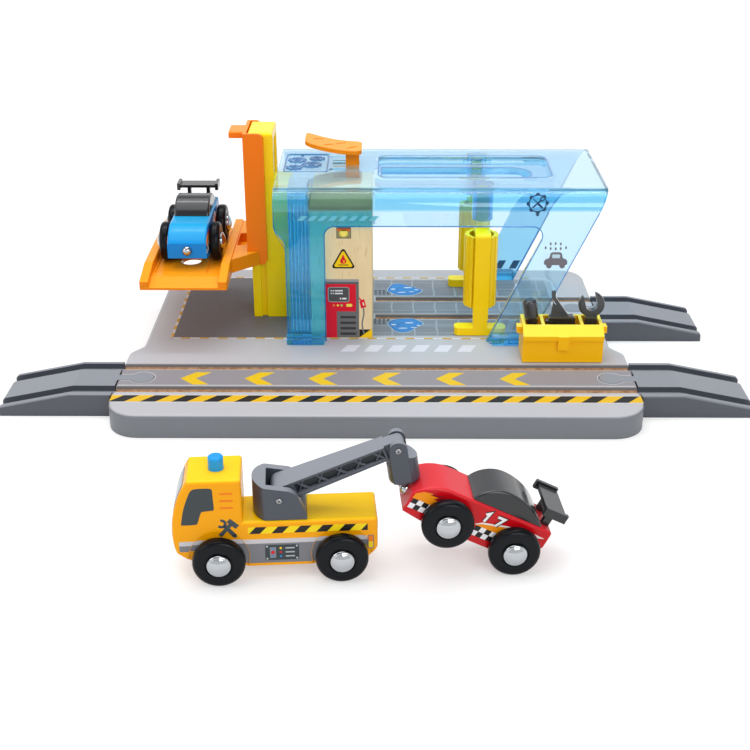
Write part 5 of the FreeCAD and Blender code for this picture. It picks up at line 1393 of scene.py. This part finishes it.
@dataclass
class Canopy:
    """Signs and relief on the clear canopy.

    Attributes:
        front: Where its front wall lies.
        back: Where its rear wall lies.
        sign: The centre of the workshop sign.
        panel: The roof's relief panel: left, front, right and rear edge.
        panel_floor: The height of that panel's floor.
        feet: The height where the walls' edge lines start.
        eaves: The height where the outer ones end.
        line: How wide an edge line is.
        tray_floor: The height that the lines round the tray's slot are laid on.
        column: The column's front, its left edge and its width.
        flutes: How many flutes the column's front shows.
        drawn: An edge line's ink, its layer and how far it stands out; the ink leaves the finish's own tint, the deep
            blue of painted shade.
        raised: The same for the moulded relief.
    """

    front: float = -10.9
    back: float = 82.2
    sign: tuple[float, float] = (82.8, 90.0)
    panel: tuple[float, float, float, float] = (-52.0, 27.0, -26.0, 64.0)
    panel_floor: float = 94.6
    feet: float = 17.2
    eaves: float = 84.8
    line: float = 0.5
    tray_floor: float = 92.6
    column: tuple[float, float, float] = (2.0, -47.0, 11.3)
    flutes: int = 6
    drawn: tuple[str, int, float] = ("ffffff", 0, 0.06)
    raised: tuple[str, int, float] = ("ffffff", 0, 0.4)

    def build(self) -> None:
        """Prints both walls and lays the relief."""
        art = Print("canopy_signs", "garage", "clear_blue")
        art.on(Face((0, self.front, 0), (1, 0, 0), (0, 0, 1)))
        self.workshop(art)
        self.car_wash(art)
        for number in range(8):
            art.fill(slant(-41.3 + 5.3 * number, 80.4, 3.0, 2.6, 2.4), "6cbfd6")
        art.on(Face((0, self.back, 0), (-1, 0, 0), (0, 0, 1)), mirrored=True)
        for left in (70.6, 79.2):
            art.fill(slant(left, 18.9, 4.2, 5.3, 2.6), "15466b")
        art.build()
        self.relief()
        self.edges()

    def workshop(self, art: Print) -> None:
        """Prints a gear with a spanner crossed over a driver."""
        x, y = self.sign
        ink = "173f63"
        art.rim(gear(x, y, 5.6, 4.75, 8), disc(x, y, 4.15, count=64), ink)
        art.fill(stroke([(x - 2.5, y - 2.4), (x + 1.7, y + 1.8)], 0.8), ink)
        art.fill(stroke(arc(x + 2.2, y + 2.3, 0.95, 80, 370, 9), 0.6), ink)
        art.fill(stroke([(x + 2.6, y - 2.5), (x - 0.3, y + 0.4)], 1.0), ink, 1)
        art.fill(stroke([(x - 0.3, y + 0.4), (x - 2.6, y + 2.6)], 0.45), ink, 1)
        art.fill(disc(x + 0.2, y - 6.2, 0.9, 0.6, 12), ink)

    def car_wash(self, art: Print) -> None:
        """Prints a small car seen from the side, under drops."""
        ink = "77747f"
        art.fill(soft([(87.8, 57.2), (88.3, 59.3), (90.3, 60.2), (91.2, 63.0), (93.9, 63.4), (96.6, 63.0), (97.6, 60.2),
                       (99.5, 59.3), (100.0, 57.2), (99.0, 56.3), (93.9, 56.2), (88.8, 56.3)]), ink)
        art.fill(box(91.9, 60.1, 96.0, 62.2, 0.4), "c5e4f3", 1)
        for x in (90.5, 97.4):
            art.fill(disc(x, 55.9, 1.5), ink, 1)
        for x, y in ((90.7, 68.0), (93.3, 68.2), (96.0, 68.0), (88.2, 65.9), (90.8, 65.4), (93.5, 65.3),
                     (96.1, 65.4), (98.8, 65.9)):
            art.fill(disc(x, y, 0.5, 0.85, 12), ink)

    def edges(self) -> None:
        """Lays thin deep lines of painted shade where a clear moulding looks dark along its edges, its tray and the
        tray's slot.
        """
        feet, eaves, wide = self.feet, self.eaves, self.line
        lines = Print("canopy_edge_shade", "garage", "clear_blue", Look.DEEP)
        window = np.vstack([[(-27.4, feet)], arc(-22.1, 72.0, 5.3, 180, 90), arc(81.0, 72.0, 5.3, 90, -24.6),
                            [(61.7, feet)]])
        shoulder = soft([(-47.9, feet), (-47.9, 30.0), (-47.9, 45.0), (-47.9, 61.0), (-48.9, 66.3), (-51.6, 70.6),
                         (-53.3, 74.6), (-53.7, 79.5), (-53.7, eaves), (-53.4, eaves), (-53.4, 79.5), (-52.9, 74.6),
                         (-51.2, 70.4), (-48.5, 66.1), (-47.5, 61.0), (-47.5, 45.0), (-47.5, 30.0), (-47.5, feet)], 2)
        for y, way in ((self.front, 1), (self.back, -1)):
            lines.on(Face((0, y, 0), (way, 0, 0), (0, 0, 1)), mirrored=way < 0)
            for outline in (stroke(window, wide), stroke([(84.0, feet), (115.0, eaves)], wide), shoulder):
                lines.fill(outline, *self.drawn)
        lines.on(Face((0, 0, 95.2), (1, 0, 0), (0, 1, 0)))
        lines.rim(box(0.2, 17.3, 94.3, 59.7, 5.7), box(0.9, 18.0, 93.6, 59.0, 5.0), *self.drawn)
        lines.on(Face((0, 0, self.tray_floor), (1, 0, 0), (0, 1, 0)))
        slots = [np.vstack([[(2.6 - more, 22.5 - more)], arc(72.7, 33.5, 11.0 + more, -90, 90, 24),
                            [(2.6 - more, 44.5 + more)]]) for more in (0.8, 0.0)]
        lines.rim(slots[0], slots[1], *self.drawn)
        flutes = self.flute_shade_lines(lines)
        lines.build()
        flutes.build()

    def flute_shade_lines(self, lines: Print) -> Print:
        """Lays painted shade and highlight on the column's flutes: a deep line on each, a dark line of painted shade
        beside it and a pale line of painted highlight on its other side.

        Args:
            lines: The print that takes the deep lines.

        Returns:
            The print of the ink lines, not built yet.
        """
        y, left, wide = self.column
        lines.on(Face((0, y, 0), (1, 0, 0), (0, 0, 1)))
        flutes = Print("column_flutes", "garage", "clear_blue").on(lines.face)
        for number in range(self.flutes):
            x = left + wide * (number + 0.5) / self.flutes
            lines.fill(box(x - 0.38, 13.0, x + 0.38, 84.0), self.drawn[0], 0, 0.05)
            # Painted shade and painted highlight beside each flute.
            flutes.fill(box(x - 0.62, 13.0, x - 0.12, 84.0), "2b86a8", 2, 0.05)
            flutes.fill(box(x + 0.12, 13.0, x + 0.42, 84.0), "a6e3f3", 2, 0.05)
        return flutes

    def relief(self) -> None:
        """Lays the panel's raised edge, its gears and the feet's moulded pockets."""
        left, front, right, rear = self.panel
        top = Face((0, 0, self.panel_floor + 0.06), (1, 0, 0), (0, 1, 0))
        relief = Print("roof_relief", "garage", "clear_blue", Look.DEEP).on(top)
        relief.SUNK = 0.0
        relief.rim(box(left + 0.8, front + 0.8, right - 0.8, rear - 0.8, 3.0),
                   box(left + 1.7, front + 1.7, right - 1.7, rear - 1.7, 2.4), *self.raised)
        for x, y, size, teeth, turn in ((-45.4, 37.0, 4.6, 9, 0), (-36.2, 42.4, 5.6, 11, 12), (-44.6, 51.6, 5.2, 10, 5),
                                        (-33.6, 54.6, 4.4, 9, 20), (-42.2, 60.0, 0.9, 6, 0)):
            count = teeth * 8
            relief.rim(gear(x, y, size, size * 0.8, teeth, turn), disc(x, y, size * 0.62, count=count), *self.raised)
            relief.rim(disc(x, y, size * 0.36, count=24), disc(x, y, size * 0.2, count=24), *self.raised)
        relief.build()
        pockets = Print("foot_pockets", "garage", "clear_blue")
        for left, right, reach in ((-46.9, -27.4, -16.2), (58.0, 78.6, -16.2)):
            pockets.on(Face((0, reach, 0), (1, 0, 0), (0, 0, 1)))
            middle, wide = (left + right) / 2, (right - left) * 0.2
            for x in (middle - wide * 1.25, middle + wide * 1.25):
                pockets.rim(box(x - wide * 0.75, 13.2, x + wide * 0.75, 15.7, 1.1),
                            box(x - wide * 0.75 + 0.5, 13.6, x + wide * 0.75 - 0.5, 15.3, 0.8), "2a74b8")
        pockets.build()


@dataclass
class Truck:
    """Printing and small fittings of the crane truck.

    Attributes:
        stand: Its own frame, from the front axle's place on the floor.
        half: Half its width.
        wheelbase: From axle to axle.
        wheel: The height of the axles.
        well: The radius kept clear round a wheel.
        inside: The radius of the skirt's edge in a well, and how far it runs on from there towards the axle.
        nose: Three points of the cab's curved front, from the bumper to the roof.
        lamps: The height of the head lamps.
    """

    stand: Stand = TRUCK_STAND
    half: float = 10.5
    wheelbase: float = TRUCK_WHEELBASE
    wheel: float = WHEEL_RADIUS
    well: float = 12.15
    inside: tuple[float, float] = (11.9, 5.0)
    nose: tuple[tuple[float, float], ...] = ((-17.5, 16.0), (-16.3, 33.5), (-11.0, 45.2))
    lamps: float = 20.4

    def build(self) -> None:
        """Prints both sides, the nose and the tail, and fits the windscreen."""
        self.art = Print("truck_print", "truck", "truck_paint")
        for far in (False, True):
            self.art.on(self.stand.side(self.half, far), mirrored=far)
            self.cab_side()
            self.skirt()
            self.panel()
            self.art.on(self.stand.side(self.half - 0.5, far), mirrored=far)
            self.wells()
        self.tail()
        self.front()
        self.art.build()
        self.windscreen()

    def between(self, low: float, high: float, left, right) -> np.ndarray:
        """Draws a strip whose ends stay clear of the wheels: an end beside a wheel follows its circle.

        Args:
            low: The lower edge.
            high: The upper edge.
            left: Where it starts, or ("after", axle) for the far side of a wheel.
            right: Where it ends, or ("before", axle) for the near side of a wheel.

        Returns:
            The outline.
        """
        heights = np.linspace(low, high, 10)
        chord = np.sqrt(np.maximum(self.well**2 - (heights - self.wheel) ** 2, 0.0))
        start = left[1] + chord if isinstance(left, tuple) else np.full(10, left)
        end = right[1] - chord if isinstance(right, tuple) else np.full(10, right)
        return np.vstack([np.stack([end, heights], 1), np.stack([start, heights], 1)[::-1]])

    def cab_side(self) -> None:
        """Prints the window, the vents and the crossed tools."""
        fill = self.art.fill
        fill(soft([(-14.0, 26.6), (-12.6, 33.5), (-10.5, 39.4), (-9.2, 41.5), (-7.6, 42.1), (-4.6, 42.2), (-1.9, 42.0),
                   (-1.25, 41.0), (-1.1, 37.0), (-0.95, 33.0), (-1.6, 32.2), (-5.2, 31.8), (-6.2, 31.0), (-7.5, 27.0),
                   (-8.5, 26.0), (-13.0, 25.9)], 4), "3c4446")
        for y in (39.5, 36.35, 33.2):
            fill(box(1.3, y - 0.4, 6.5, y + 0.4, 0.38), "f0770a")
        ink = "3f4a4e"
        fill(stroke([(6.7, 20.2), (2.6, 25.2)], 1.75), ink)
        fill(disc(6.6, 20.3, 0.87, count=14), ink)
        fill(stroke(arc(1.6, 26.0, 1.5, -140, 105, 12), 1.15), ink)
        fill(stroke([(0.9, 20.5), (5.1, 25.5)], 1.6), ink, 1)
        fill(stroke([(4.3, 27.5), (7.7, 24.3)], 2.1), ink, 1)

    def skirt(self) -> None:
        """Prints the hazard line, the pale line, the grey skirt and the tail lamp."""
        fill = self.art.fill
        fill(box(11.8, 20.9, 58.8, 23.9), "fbdc12")
        for number in range(6):
            bar = cut(slant(12.1 + 8.78 * number, 20.9, 4.3, 3.0, 2.7), 0, 58.8, True)
            fill(bar, "161412", 1)
        front, rear = 0.0, self.wheelbase
        spans = ((-15.4, ("before", front)), (("after", front), ("before", rear)), (("after", rear), 58.6))
        for left, right in spans:
            fill(self.between(16.3, 18.3, left, right), "cdcbcf")
        fill(self.between(7.2, 16.3, ("after", front), ("before", rear)), "7d7e84")
        fill(self.between(13.6, 16.3, -15.4, ("before", front)), "7d7e84")
        fill(self.between(13.0, 16.3, ("after", rear), 58.6), "7d7e84")
        fill(box(58.7, 12.3, 61.3, 18.6, 0.6), "8d7b70")
        fill(box(59.1, 12.7, 60.9, 15.5, 0.4), "f7d414", 1)
        fill(box(59.1, 15.5, 60.9, 18.2, 0.4), "ef7a10", 1)

    def panel(self) -> None:
        """Prints the control panel: keys, lights, lines and four screws."""
        fill = self.art.fill
        fill(box(18.1, 8.4, 31.5, 15.5, 0.4), "384145", 1)
        fill(box(20.0, 9.4, 22.4, 14.4), "878d92", 2)
        fill(disc(21.2, 12.0, 0.85, count=16), "d01c34", 3)
        fill(np.array([(20.5, 13.3), (21.9, 13.3), (21.2, 14.1)]), "2f8ac9", 3)
        fill(np.array([(20.5, 10.7), (21.9, 10.7), (21.2, 9.9)]), "2f8ac9", 3)
        for y, ink in ((13.9, "f5cf12"), (12.0, "cf1f33"), (10.1, "2f8ac9")):
            fill(disc(24.3, y, 0.5, count=14), ink, 2)
            fill(box(26.2, y - 0.27, 29.8, y + 0.27), "bcc1c5", 2)
        for x in (18.9, 30.7):
            for y in (9.1, 14.8):
                fill(disc(x, y, 0.4, count=12), "c9cccf", 2)

    def wells(self) -> None:
        """Prints the skirt on in the wells behind the wheels, up to a circle a little smaller than a well."""
        radius, run = self.inside
        for axle, way in ((0.0, 1), (self.wheelbase, -1)):
            for low, high, ways, ink in ((7.2, 13.6, (way,), "7d7e84"), (13.6, 16.3, (-1, 1), "7d7e84"),
                                         (16.3, 18.3, (-1, 1), "cdcbcf")):
                heights = np.linspace(low, high, 8)
                chord = np.sqrt(radius**2 - (heights - self.wheel) ** 2)
                for side in ways:
                    edge = np.stack([axle + side * chord, heights], 1)
                    inner = np.stack([axle + side * (chord - run), heights], 1)[::-1]
                    self.art.fill(np.vstack([edge, inner]), ink)

    def tail(self) -> None:
        """Prints the tail: a hazard line, a pale line and two lamps."""
        self.art.on(self.stand.face((62.8, 0, 0), (0, 1, 0), (0, 0, 1)))
        fill = self.art.fill
        fill(box(-9.2, 20.9, 9.2, 23.9), "fbdc12")
        for number in range(-2, 3):
            bar = slant(-8.8 + 4.6 * (number + 1.5), 20.9, 2.4, 3.0, 1.6)
            fill(cut(cut(bar, 0, 9.2, True), 0, -9.2, False), "161412", 1)
        for y in (-7.4, 7.4):
            fill(box(y - 1.6, 14.2, y + 1.6, 18.6, 0.5), "8d7b70")
            fill(box(y - 1.2, 14.6, y + 1.2, 16.4, 0.3), "f7d414", 1)
            fill(box(y - 1.2, 16.4, y + 1.2, 18.2, 0.3), "ef7a10", 1)

    def bow(self) -> tuple[np.ndarray, float]:
        """Finds the circle of the cab's front: the point as far from all three of its points.

        Returns:
            The circle's centre and radius.
        """
        a, b, c = (np.array(p) for p in self.nose)
        sides = 2 * np.array([b - a, c - a])
        centre = np.linalg.solve(sides, np.array([b @ b - a @ a, c @ c - a @ a]))
        return centre, float(np.linalg.norm(a - centre))

    def front(self) -> None:
        """Prints two head lamps and a grille low on the nose."""
        centre, radius = self.bow()
        z = self.lamps
        x = centre[0] - math.sqrt(radius**2 - (z - centre[1]) ** 2)
        out = unit((x - centre[0], z - centre[1]))
        up = (-out[1], 0, out[0]) if out[0] > 0 else (out[1], 0, -out[0])
        self.art.on(self.stand.face((x, 0, z), (0, -1, 0), up))
        fill = self.art.fill
        for y in (-6.6, 6.6):
            fill(disc(y, 0, 1.9, count=24), "8b8f94", 0, 0.1)
            fill(disc(y, 0, 1.45, count=24), "f3f4f5", 1, 0.1)
        for z in (-0.9, 0.3, 1.5):
            fill(box(-3.4, z - 0.3, 3.4, z + 0.3, 0.25), "3c4446", 0, 0.1)

    def windscreen(self) -> None:
        """Fits the windscreen: strips across the cab follow the front's circle and narrow to both ends."""
        centre, radius = self.bow()
        along = np.linspace(0, 1, 22)
        z = 31.0 + 11.4 * along
        x = centre[0] - np.sqrt(radius**2 - (z - centre[1]) ** 2)
        half = 8.4 - 0.9 * np.abs(2 * along - 1) ** 6
        across = np.linspace(-1, 1, 12)
        grid = np.stack([np.repeat(x, 12), (half[:, None] * across).ravel(), np.repeat(z, 12)], 1)
        points = (np.asarray(self.stand.origin) + grid @ self.stand.axes().T) * MM
        row, column = np.meshgrid(np.arange(21), np.arange(11), indexing="ij")
        start = (row * 12 + column).ravel()
        faces = np.stack([start, start + 12, start + 13, start + 1], 1).tolist()
        screen = piece("truck_windscreen", points, faces, Look.GLASS, "truck", smooth=True)
        wall = screen.modifiers.new("wall", "SOLIDIFY")
        wall.thickness, wall.offset = 0.14 * MM, 0.0


DIGITS: dict[str, tuple[tuple[tuple[float, float], ...], ...]] = {
    "1": (((-0.9, 3.1), (0.6, 4.2), (-0.2, 0.0)),),
    "7": (((-1.2, 4.0), (1.9, 4.0), (-0.4, 0.0)),),
    "4": (((1.5, 1.2), (-1.5, 1.2), (1.0, 4.3)), ((1.5, 2.8), (0.8, -0.1))),
}


@dataclass
class SportsCar:
    """Printing on both sides of a car.

    Attributes:
        name: The car's body in the record.
        slot: The record's material slot of its paint.
        stand: Its own frame, from the rear axle.
        number: The two digits on its sides.
        flame: The colour of the front flames.
        shade: The darker flames behind them.
        swoosh: The colour of the long sweep.
        half: Half its width.
    """

    name: str
    slot: str
    stand: Stand
    number: str
    flame: str = "f5920e"
    shade: str = "9c0d1c"
    swoosh: str = "f5920e"
    half: float = 10.5

    def build(self) -> None:
        """Prints both sides and the tail lamps."""
        self.art = Print(self.name + "_print", self.name, self.slot)
        for far in (False, True):
            self.art.on(self.stand.side(self.half, far), mirrored=far)
            self.flames()
            self.checks()
            self.sweep()
            self.digits(far)
        self.art.on(self.stand.face((11.7, 0, 0), (0, 1, 0), (0, 0, 1)))
        for y in (-6.8, 6.8):
            self.art.fill(box(y - 1.8, 6.6, y + 1.8, 9.0, 0.6), "f3f0ea")
            self.art.fill(box(y - 1.4, 7.0, y + 1.4, 8.6, 0.5), "b20f1e", 1)
        self.art.build()

    def flames(self) -> None:
        """Prints dark tongues under bright ones, all pointing back."""
        dark = [(-45.0, 5.6), (-41.5, 8.2), (-38.5, 8.2), (-35.0, 9.3), (-37.2, 7.9), (-33.0, 8.4), (-36.4, 6.8),
                (-33.2, 6.0), (-38.5, 4.6)]
        self.art.fill(np.array(dark), self.shade)
        bright = [(-47.4, 3.1), (-47.0, 5.4), (-44.4, 7.3), (-40.4, 8.1), (-41.6, 7.1), (-37.8, 7.2), (-39.6, 6.0),
                  (-36.6, 5.7), (-38.7, 4.6), (-38.2, 3.1)]
        self.art.fill(np.array(bright), self.flame, 1)

    def checks(self) -> None:
        """Prints the chequered fields before the front wheel and between the wheels."""
        for start, low, columns, rows, side in ((-47.4, -1.4, 4, 2, 2.3), (-18.9, -2.0, 4, 2, 2.35)):
            for row in range(rows):
                for column in range(columns):
                    ink = "f2f1f4" if (row + column) % 2 == 0 else "151515"
                    left = start + side * column + 0.3 * row
                    self.art.fill(slant(left, low + side * row, side, side, 0.3), ink, 1)

    def sweep(self) -> None:
        """Prints the long sweep over the rear wheel with its white edge."""
        white = [(-19.2, 2.9), (-16.6, 4.8), (-12.0, 5.9), (-7.0, 7.4), (-1.0, 8.4), (5.0, 8.8), (9.7, 8.5), (5.6, 7.1),
                 (-1.0, 6.6), (-5.4, 5.2), (-8.9, 2.7), (-14.0, 2.7)]
        self.art.fill(np.array(white), "f4f2f0", 1)
        colour = [(-19.0, 2.7), (-16.4, 4.1), (-12.0, 5.2), (-7.0, 6.7), (-1.0, 7.6), (3.8, 7.8), (-0.6, 6.6),
                  (-5.4, 5.2), (-8.9, 2.7), (-14.0, 2.7)]
        self.art.fill(np.array(colour), self.swoosh, 2)

    def digits(self, far: bool) -> None:
        """Prints the number, black round white, the right way round on both sides."""
        mirrored, self.art.mirrored = self.art.mirrored, False
        centre = -13.6 * (-1 if far else 1)
        for place, digit in zip((-2.7, 2.6), self.number):
            for path in DIGITS[digit]:
                line = np.array(path) * (1.0, 1.05) + (centre + place, 5.4)
                self.art.fill(stroke(line, 1.9), "131313", 3)
                self.art.fill(stroke(line, 1.1), "f6f5f4", 4)
        self.art.mirrored = mirrored


@dataclass
class CranePins:
    """Round heads of the crane's two pins, with a dark cross painted in each as shade for its slot.

    Attributes:
        stand: The truck's frame.
        root: Where the boom turns in the turret.
        tip: Where the head turns on the boom.
        cheek: Half the turret's width.
        ear: Half the head's width.
        proud: How far the cross lies out of the cheek or the ear.
        arms: Half the length and half the width of a cross's arm.
        web_side: How far the boom's hollows lie from its middle plane.
    """

    stand: Stand = TRUCK_STAND
    root: tuple[float, float] = (24.3, 35.1)
    tip: tuple[float, float] = (24.3 + BOOM_LONG * math.cos(math.radians(BOOM_RISE)),
                                35.1 + BOOM_LONG * math.sin(math.radians(BOOM_RISE)))
    cheek: float = 10.0
    ear: float = 6.3
    proud: float = 0.49
    arms: tuple[float, float] = (0.6, 0.16)
    web_side: float = 3.2

    def build(self) -> None:
        """Turns the four heads and paints a dark cross on each: painted shade in place of its slot."""
        long, thin = self.arms
        dome = ((0.9, -0.3), (0.9, 0.06), (1.25, 0.06), (1.25, 0.18), (1.1, 0.34), (0.8, 0.46), (0.4, 0.5),
                (0.15, 0.52))
        for name, body, (x, z), half in (("root", "turret", self.root, self.cheek),
                                         ("tip", "boom", self.tip, self.ear)):
            cross = Print(name + "_pin_slot_shade", body, "steel_pin")
            for far, side in SIDES:
                turned("%s_pin_head_%s" % (name, side), dome, self.stand.side(half, far, x, z), Look.STEEL,
                       body, "steel_pin")
                cross.on(self.stand.side(half + self.proud, far, x, z))
                # Painted shade: the dark cross stands in for the head's shaded slot.
                cross.fill(box(-long, -thin, long, thin), "2a2d31")
                cross.fill(box(-thin, -long, thin, long), "2a2d31", 1)
            cross.build()
        self.paint_hollow_shade()

    def paint_hollow_shade(self) -> None:
        """Paints shade into the hollows behind the boom's lattice on both sides: a dark sheet where only shade falls.
        """
        x, z = self.root
        along = self.stand.axes()[:, 0] * x
        place = (self.stand.origin[0] + along[0], self.stand.origin[1] + along[1], z)
        lifted = Stand(place, self.stand.yaw, -BOOM_RISE)
        shade = Print("boom_hollow_shade", "boom", "crane_plastic")
        for far in (False, True):
            shade.on(lifted.side(self.web_side, far), mirrored=far)
            # Painted shade: a dark fill over each hollow.
            shade.fill(np.array([(7.3, -2.4), (44.3, -1.9), (44.3, 1.9), (7.3, 2.4)]), "24282e")
        shade.build()


@dataclass
class HubCaps:
    """The domed chrome caps in the middle of all wheels.

    Attributes:
        half: How far a cap's foot lies from its vehicle's middle plane.
        radius: The foot's radius.
        rise: How far a cap stands out.
        wheels: Each pair's body, its vehicle's frame and its axle's place there.
    """

    half: float = 17.6
    radius: float = 4.0
    rise: float = 1.25
    wheels: tuple[tuple[str, Stand, float, float], ...] = (
        ("truck_front", TRUCK_STAND, 0.0, WHEEL_RADIUS), ("truck_rear", TRUCK_STAND, TRUCK_WHEELBASE, WHEEL_RADIUS),
        ("red_front", RED_STAND, -CAR_WHEELBASE, 0.0), ("red_rear", RED_STAND, 0.0, 0.0),
        ("blue_front", BLUE_STAND, -CAR_WHEELBASE, 0.0), ("blue_rear", BLUE_STAND, 0.0, 0.0))

    def build(self) -> None:
        """Turns the caps: heights are those of a sphere that passes through the foot's edge and the top."""
        ball = (self.radius**2 + self.rise**2) / (2 * self.rise)
        wide = self.radius * np.cos(np.linspace(0.0, 1.5, 9))
        high = np.sqrt(ball**2 - wide**2) - (ball - self.rise)
        shape = np.vstack([[(self.radius, -0.3)], np.stack([wide, high], 1)])
        for name, stand, along, height in self.wheels:
            for far, side in SIDES:
                turned("%s_hub_cap_%s" % (name, side), shape, stand.side(self.half, far, along, height),
                       Look.CHROME, name + "_wheels", "magnet_chrome", 40)


# Studio


@dataclass
class Studio:
    """Floor, lamps and camera, with places in millimetres and angles in degrees.

    Attributes:
        eye: Where the camera stands.
        pitch: How far it looks down.
        yaw: How far it is turned.
        roll: How far it is tipped.
        lens: Its focal length over a 36 mm sensor.
        floor_half: Half the floor's width.
        paper: The floor's own grey.
        glow_range: The distances, in metres, over which the floor's own light rises.
        glow: How strong that light is at both ends; only the camera, reflections and clear parts see it.
        sky_range: The heights of a direction over which the room's reflection fades.
        sky: How strong the reflection is at both ends.
        fill: How strong the room's light is for all but the camera, reflections and clear parts.
        boxes: Each lamp's name, place, aim, size and power.
    """

    eye: tuple[float, float, float] = (3.68, -634.28, 291.92)
    pitch: float = 25.6988
    yaw: float = 0.4276
    roll: float = -0.045
    lens: float = 60.595
    floor_half: float = 6000.0
    paper: float = 0.62
    glow_range: tuple[float, float] = (0.35, 1.0)
    glow: tuple[float, float] = (0.4, 0.75)
    sky_range: tuple[float, float] = (0.3, 0.75)
    sky: tuple[float, float] = (0.9, 0.12)
    fill: float = 0.5
    boxes: tuple = (
        ("overhead", (-150, 60, 1100), (0, -60, 0), (1300, 1000), 7.2),
        ("strip", (0, 270, 1080), (0, 0, 60), (1100, 90), 2.4),
        ("left_box", (-1000, -500, 700), (0, -80, 40), (700, 600), 2.6),
        ("front_box", (500, -1200, 800), (0, -80, 30), (900, 600), 7.2),
    )

    def build(self) -> None:
        """Sets up everything round the object."""
        bpy.context.scene.view_settings.view_transform = "Standard"
        self.camera()
        self.floor()
        self.world()
        self.lamps()

    def camera(self) -> None:
        """Puts the camera where the photograph was taken from."""
        data = bpy.data.cameras.new("view")
        data.lens, data.sensor_width, data.clip_start, data.clip_end = self.lens, 36.0, 0.01, 30.0
        camera = bpy.data.objects.new("view", data)
        camera.location = Vector(self.eye) * MM
        turn = Matrix.Rotation(math.radians(self.yaw), 4, "Z") @ Matrix.Rotation(
            math.radians(90 - self.pitch), 4, "X") @ Matrix.Rotation(math.radians(self.roll), 4, "Z")
        camera.rotation_euler = turn.to_euler()
        bpy.context.scene.collection.objects.link(camera)
        bpy.context.scene.camera = camera

    def floor(self) -> None:
        """Lays a white floor that keeps the object's shadow, with a light of its own in what is seen of it."""
        half = self.floor_half * MM
        mesh = bpy.data.meshes.new("floor")
        mesh.from_pydata([(-half, -half, 0), (half, -half, 0), (half, half, 0), (-half, half, 0)], [], [(0, 1, 2, 3)])
        floor = bpy.data.objects.new("floor", mesh)
        bpy.context.scene.collection.objects.link(floor)
        material = bpy.data.materials.new("floor_white")
        material.use_nodes = True
        graph = Graph(material.node_tree)
        material.node_tree.nodes.clear()
        paper = graph.add("BsdfDiffuse", Color=(self.paper,) * 3 + (1.0,)).outputs[0]
        rays = graph.add("LightPath").outputs
        seen = graph.math("MAXIMUM", graph.math("MAXIMUM", rays["Is Camera Ray"], rays["Is Glossy Ray"]),
                          rays["Is Transmission Ray"])
        where = graph.add("TexCoord").outputs["Object"]
        away = graph.add("VectorMath", {"operation": "LENGTH"}, Vector=where).outputs["Value"]
        boost = graph.math("MULTIPLY", seen, graph.ramp(away, *self.glow_range, *self.glow))
        lift = graph.add("Emission", Color=(1.0, 1.0, 1.0, 1.0), Strength=boost).outputs[0]
        both = graph.add("AddShader")
        graph.feed(both.inputs[0], paper)
        graph.feed(both.inputs[1], lift)
        output = graph.add("OutputMaterial")
        graph.feed(output.inputs["Surface"], both.outputs[0])
        mesh.materials.append(material)

    def world(self) -> None:
        """Fills the room with even light, and shows white behind the object."""
        world = bpy.data.worlds.new("room")
        world.use_nodes = True
        bpy.context.scene.world = world
        graph = Graph(world.node_tree)
        world.node_tree.nodes.clear()
        rays = graph.add("LightPath").outputs
        seen = graph.math("MAXIMUM", rays["Is Camera Ray"], rays["Is Transmission Ray"])
        height = graph.split(graph.add("TexCoord").outputs["Generated"])[2]
        mirrored = graph.math("MULTIPLY", rays["Is Glossy Ray"], graph.ramp(height, *self.sky_range, *self.sky))
        plain = graph.math("MULTIPLY", graph.math("SUBTRACT", 1.0, rays["Is Glossy Ray"]), self.fill)
        unseen = graph.math("ADD", mirrored, plain)
        strength = graph.math("ADD", seen, graph.math("MULTIPLY", graph.math("SUBTRACT", 1.0, seen), unseen))
        chosen = graph.add("Background", Color=(1.0, 1.0, 1.0, 1.0), Strength=strength)
        output = graph.add("OutputWorld")
        graph.feed(output.inputs["Surface"], chosen.outputs[0])

    def lamps(self) -> None:
        """Hangs the soft boxes."""
        for name, place, aim, size, watts in self.boxes:
            data = bpy.data.lights.new(name, "AREA")
            data.shape, data.size, data.size_y, data.energy = "RECTANGLE", size[0] * MM, size[1] * MM, watts
            lamp = bpy.data.objects.new(name, data)
            lamp.location = Vector(place) * MM
            lamp.rotation_euler = (Vector(aim) - Vector(place)).to_track_quat("-Z", "Y").to_euler()
            bpy.context.scene.collection.objects.link(lamp)


def main() -> None:
    """Dresses the frame and builds every piece in order."""
    logging.basicConfig(level=logging.INFO, format="%(name)s: %(message)s")
    Studio().build()
    for look, nodes in SOLIDS.items():
        for node in nodes:
            dress(node, look)
        log.info("%s on %d solids", look.value.name, len(nodes))
    for part in (TrackBoard(), FuelBlock(), Canopy(), Truck(), CranePins(), HubCaps(),
                 SportsCar("red_car", "red_paint", RED_STAND, "17"),
                 SportsCar("blue_car", "blue_paint", BLUE_STAND, "47", shade="c01f24", swoosh="ee5a1c")):
        part.build()


if __name__ == "__main__":
    main()
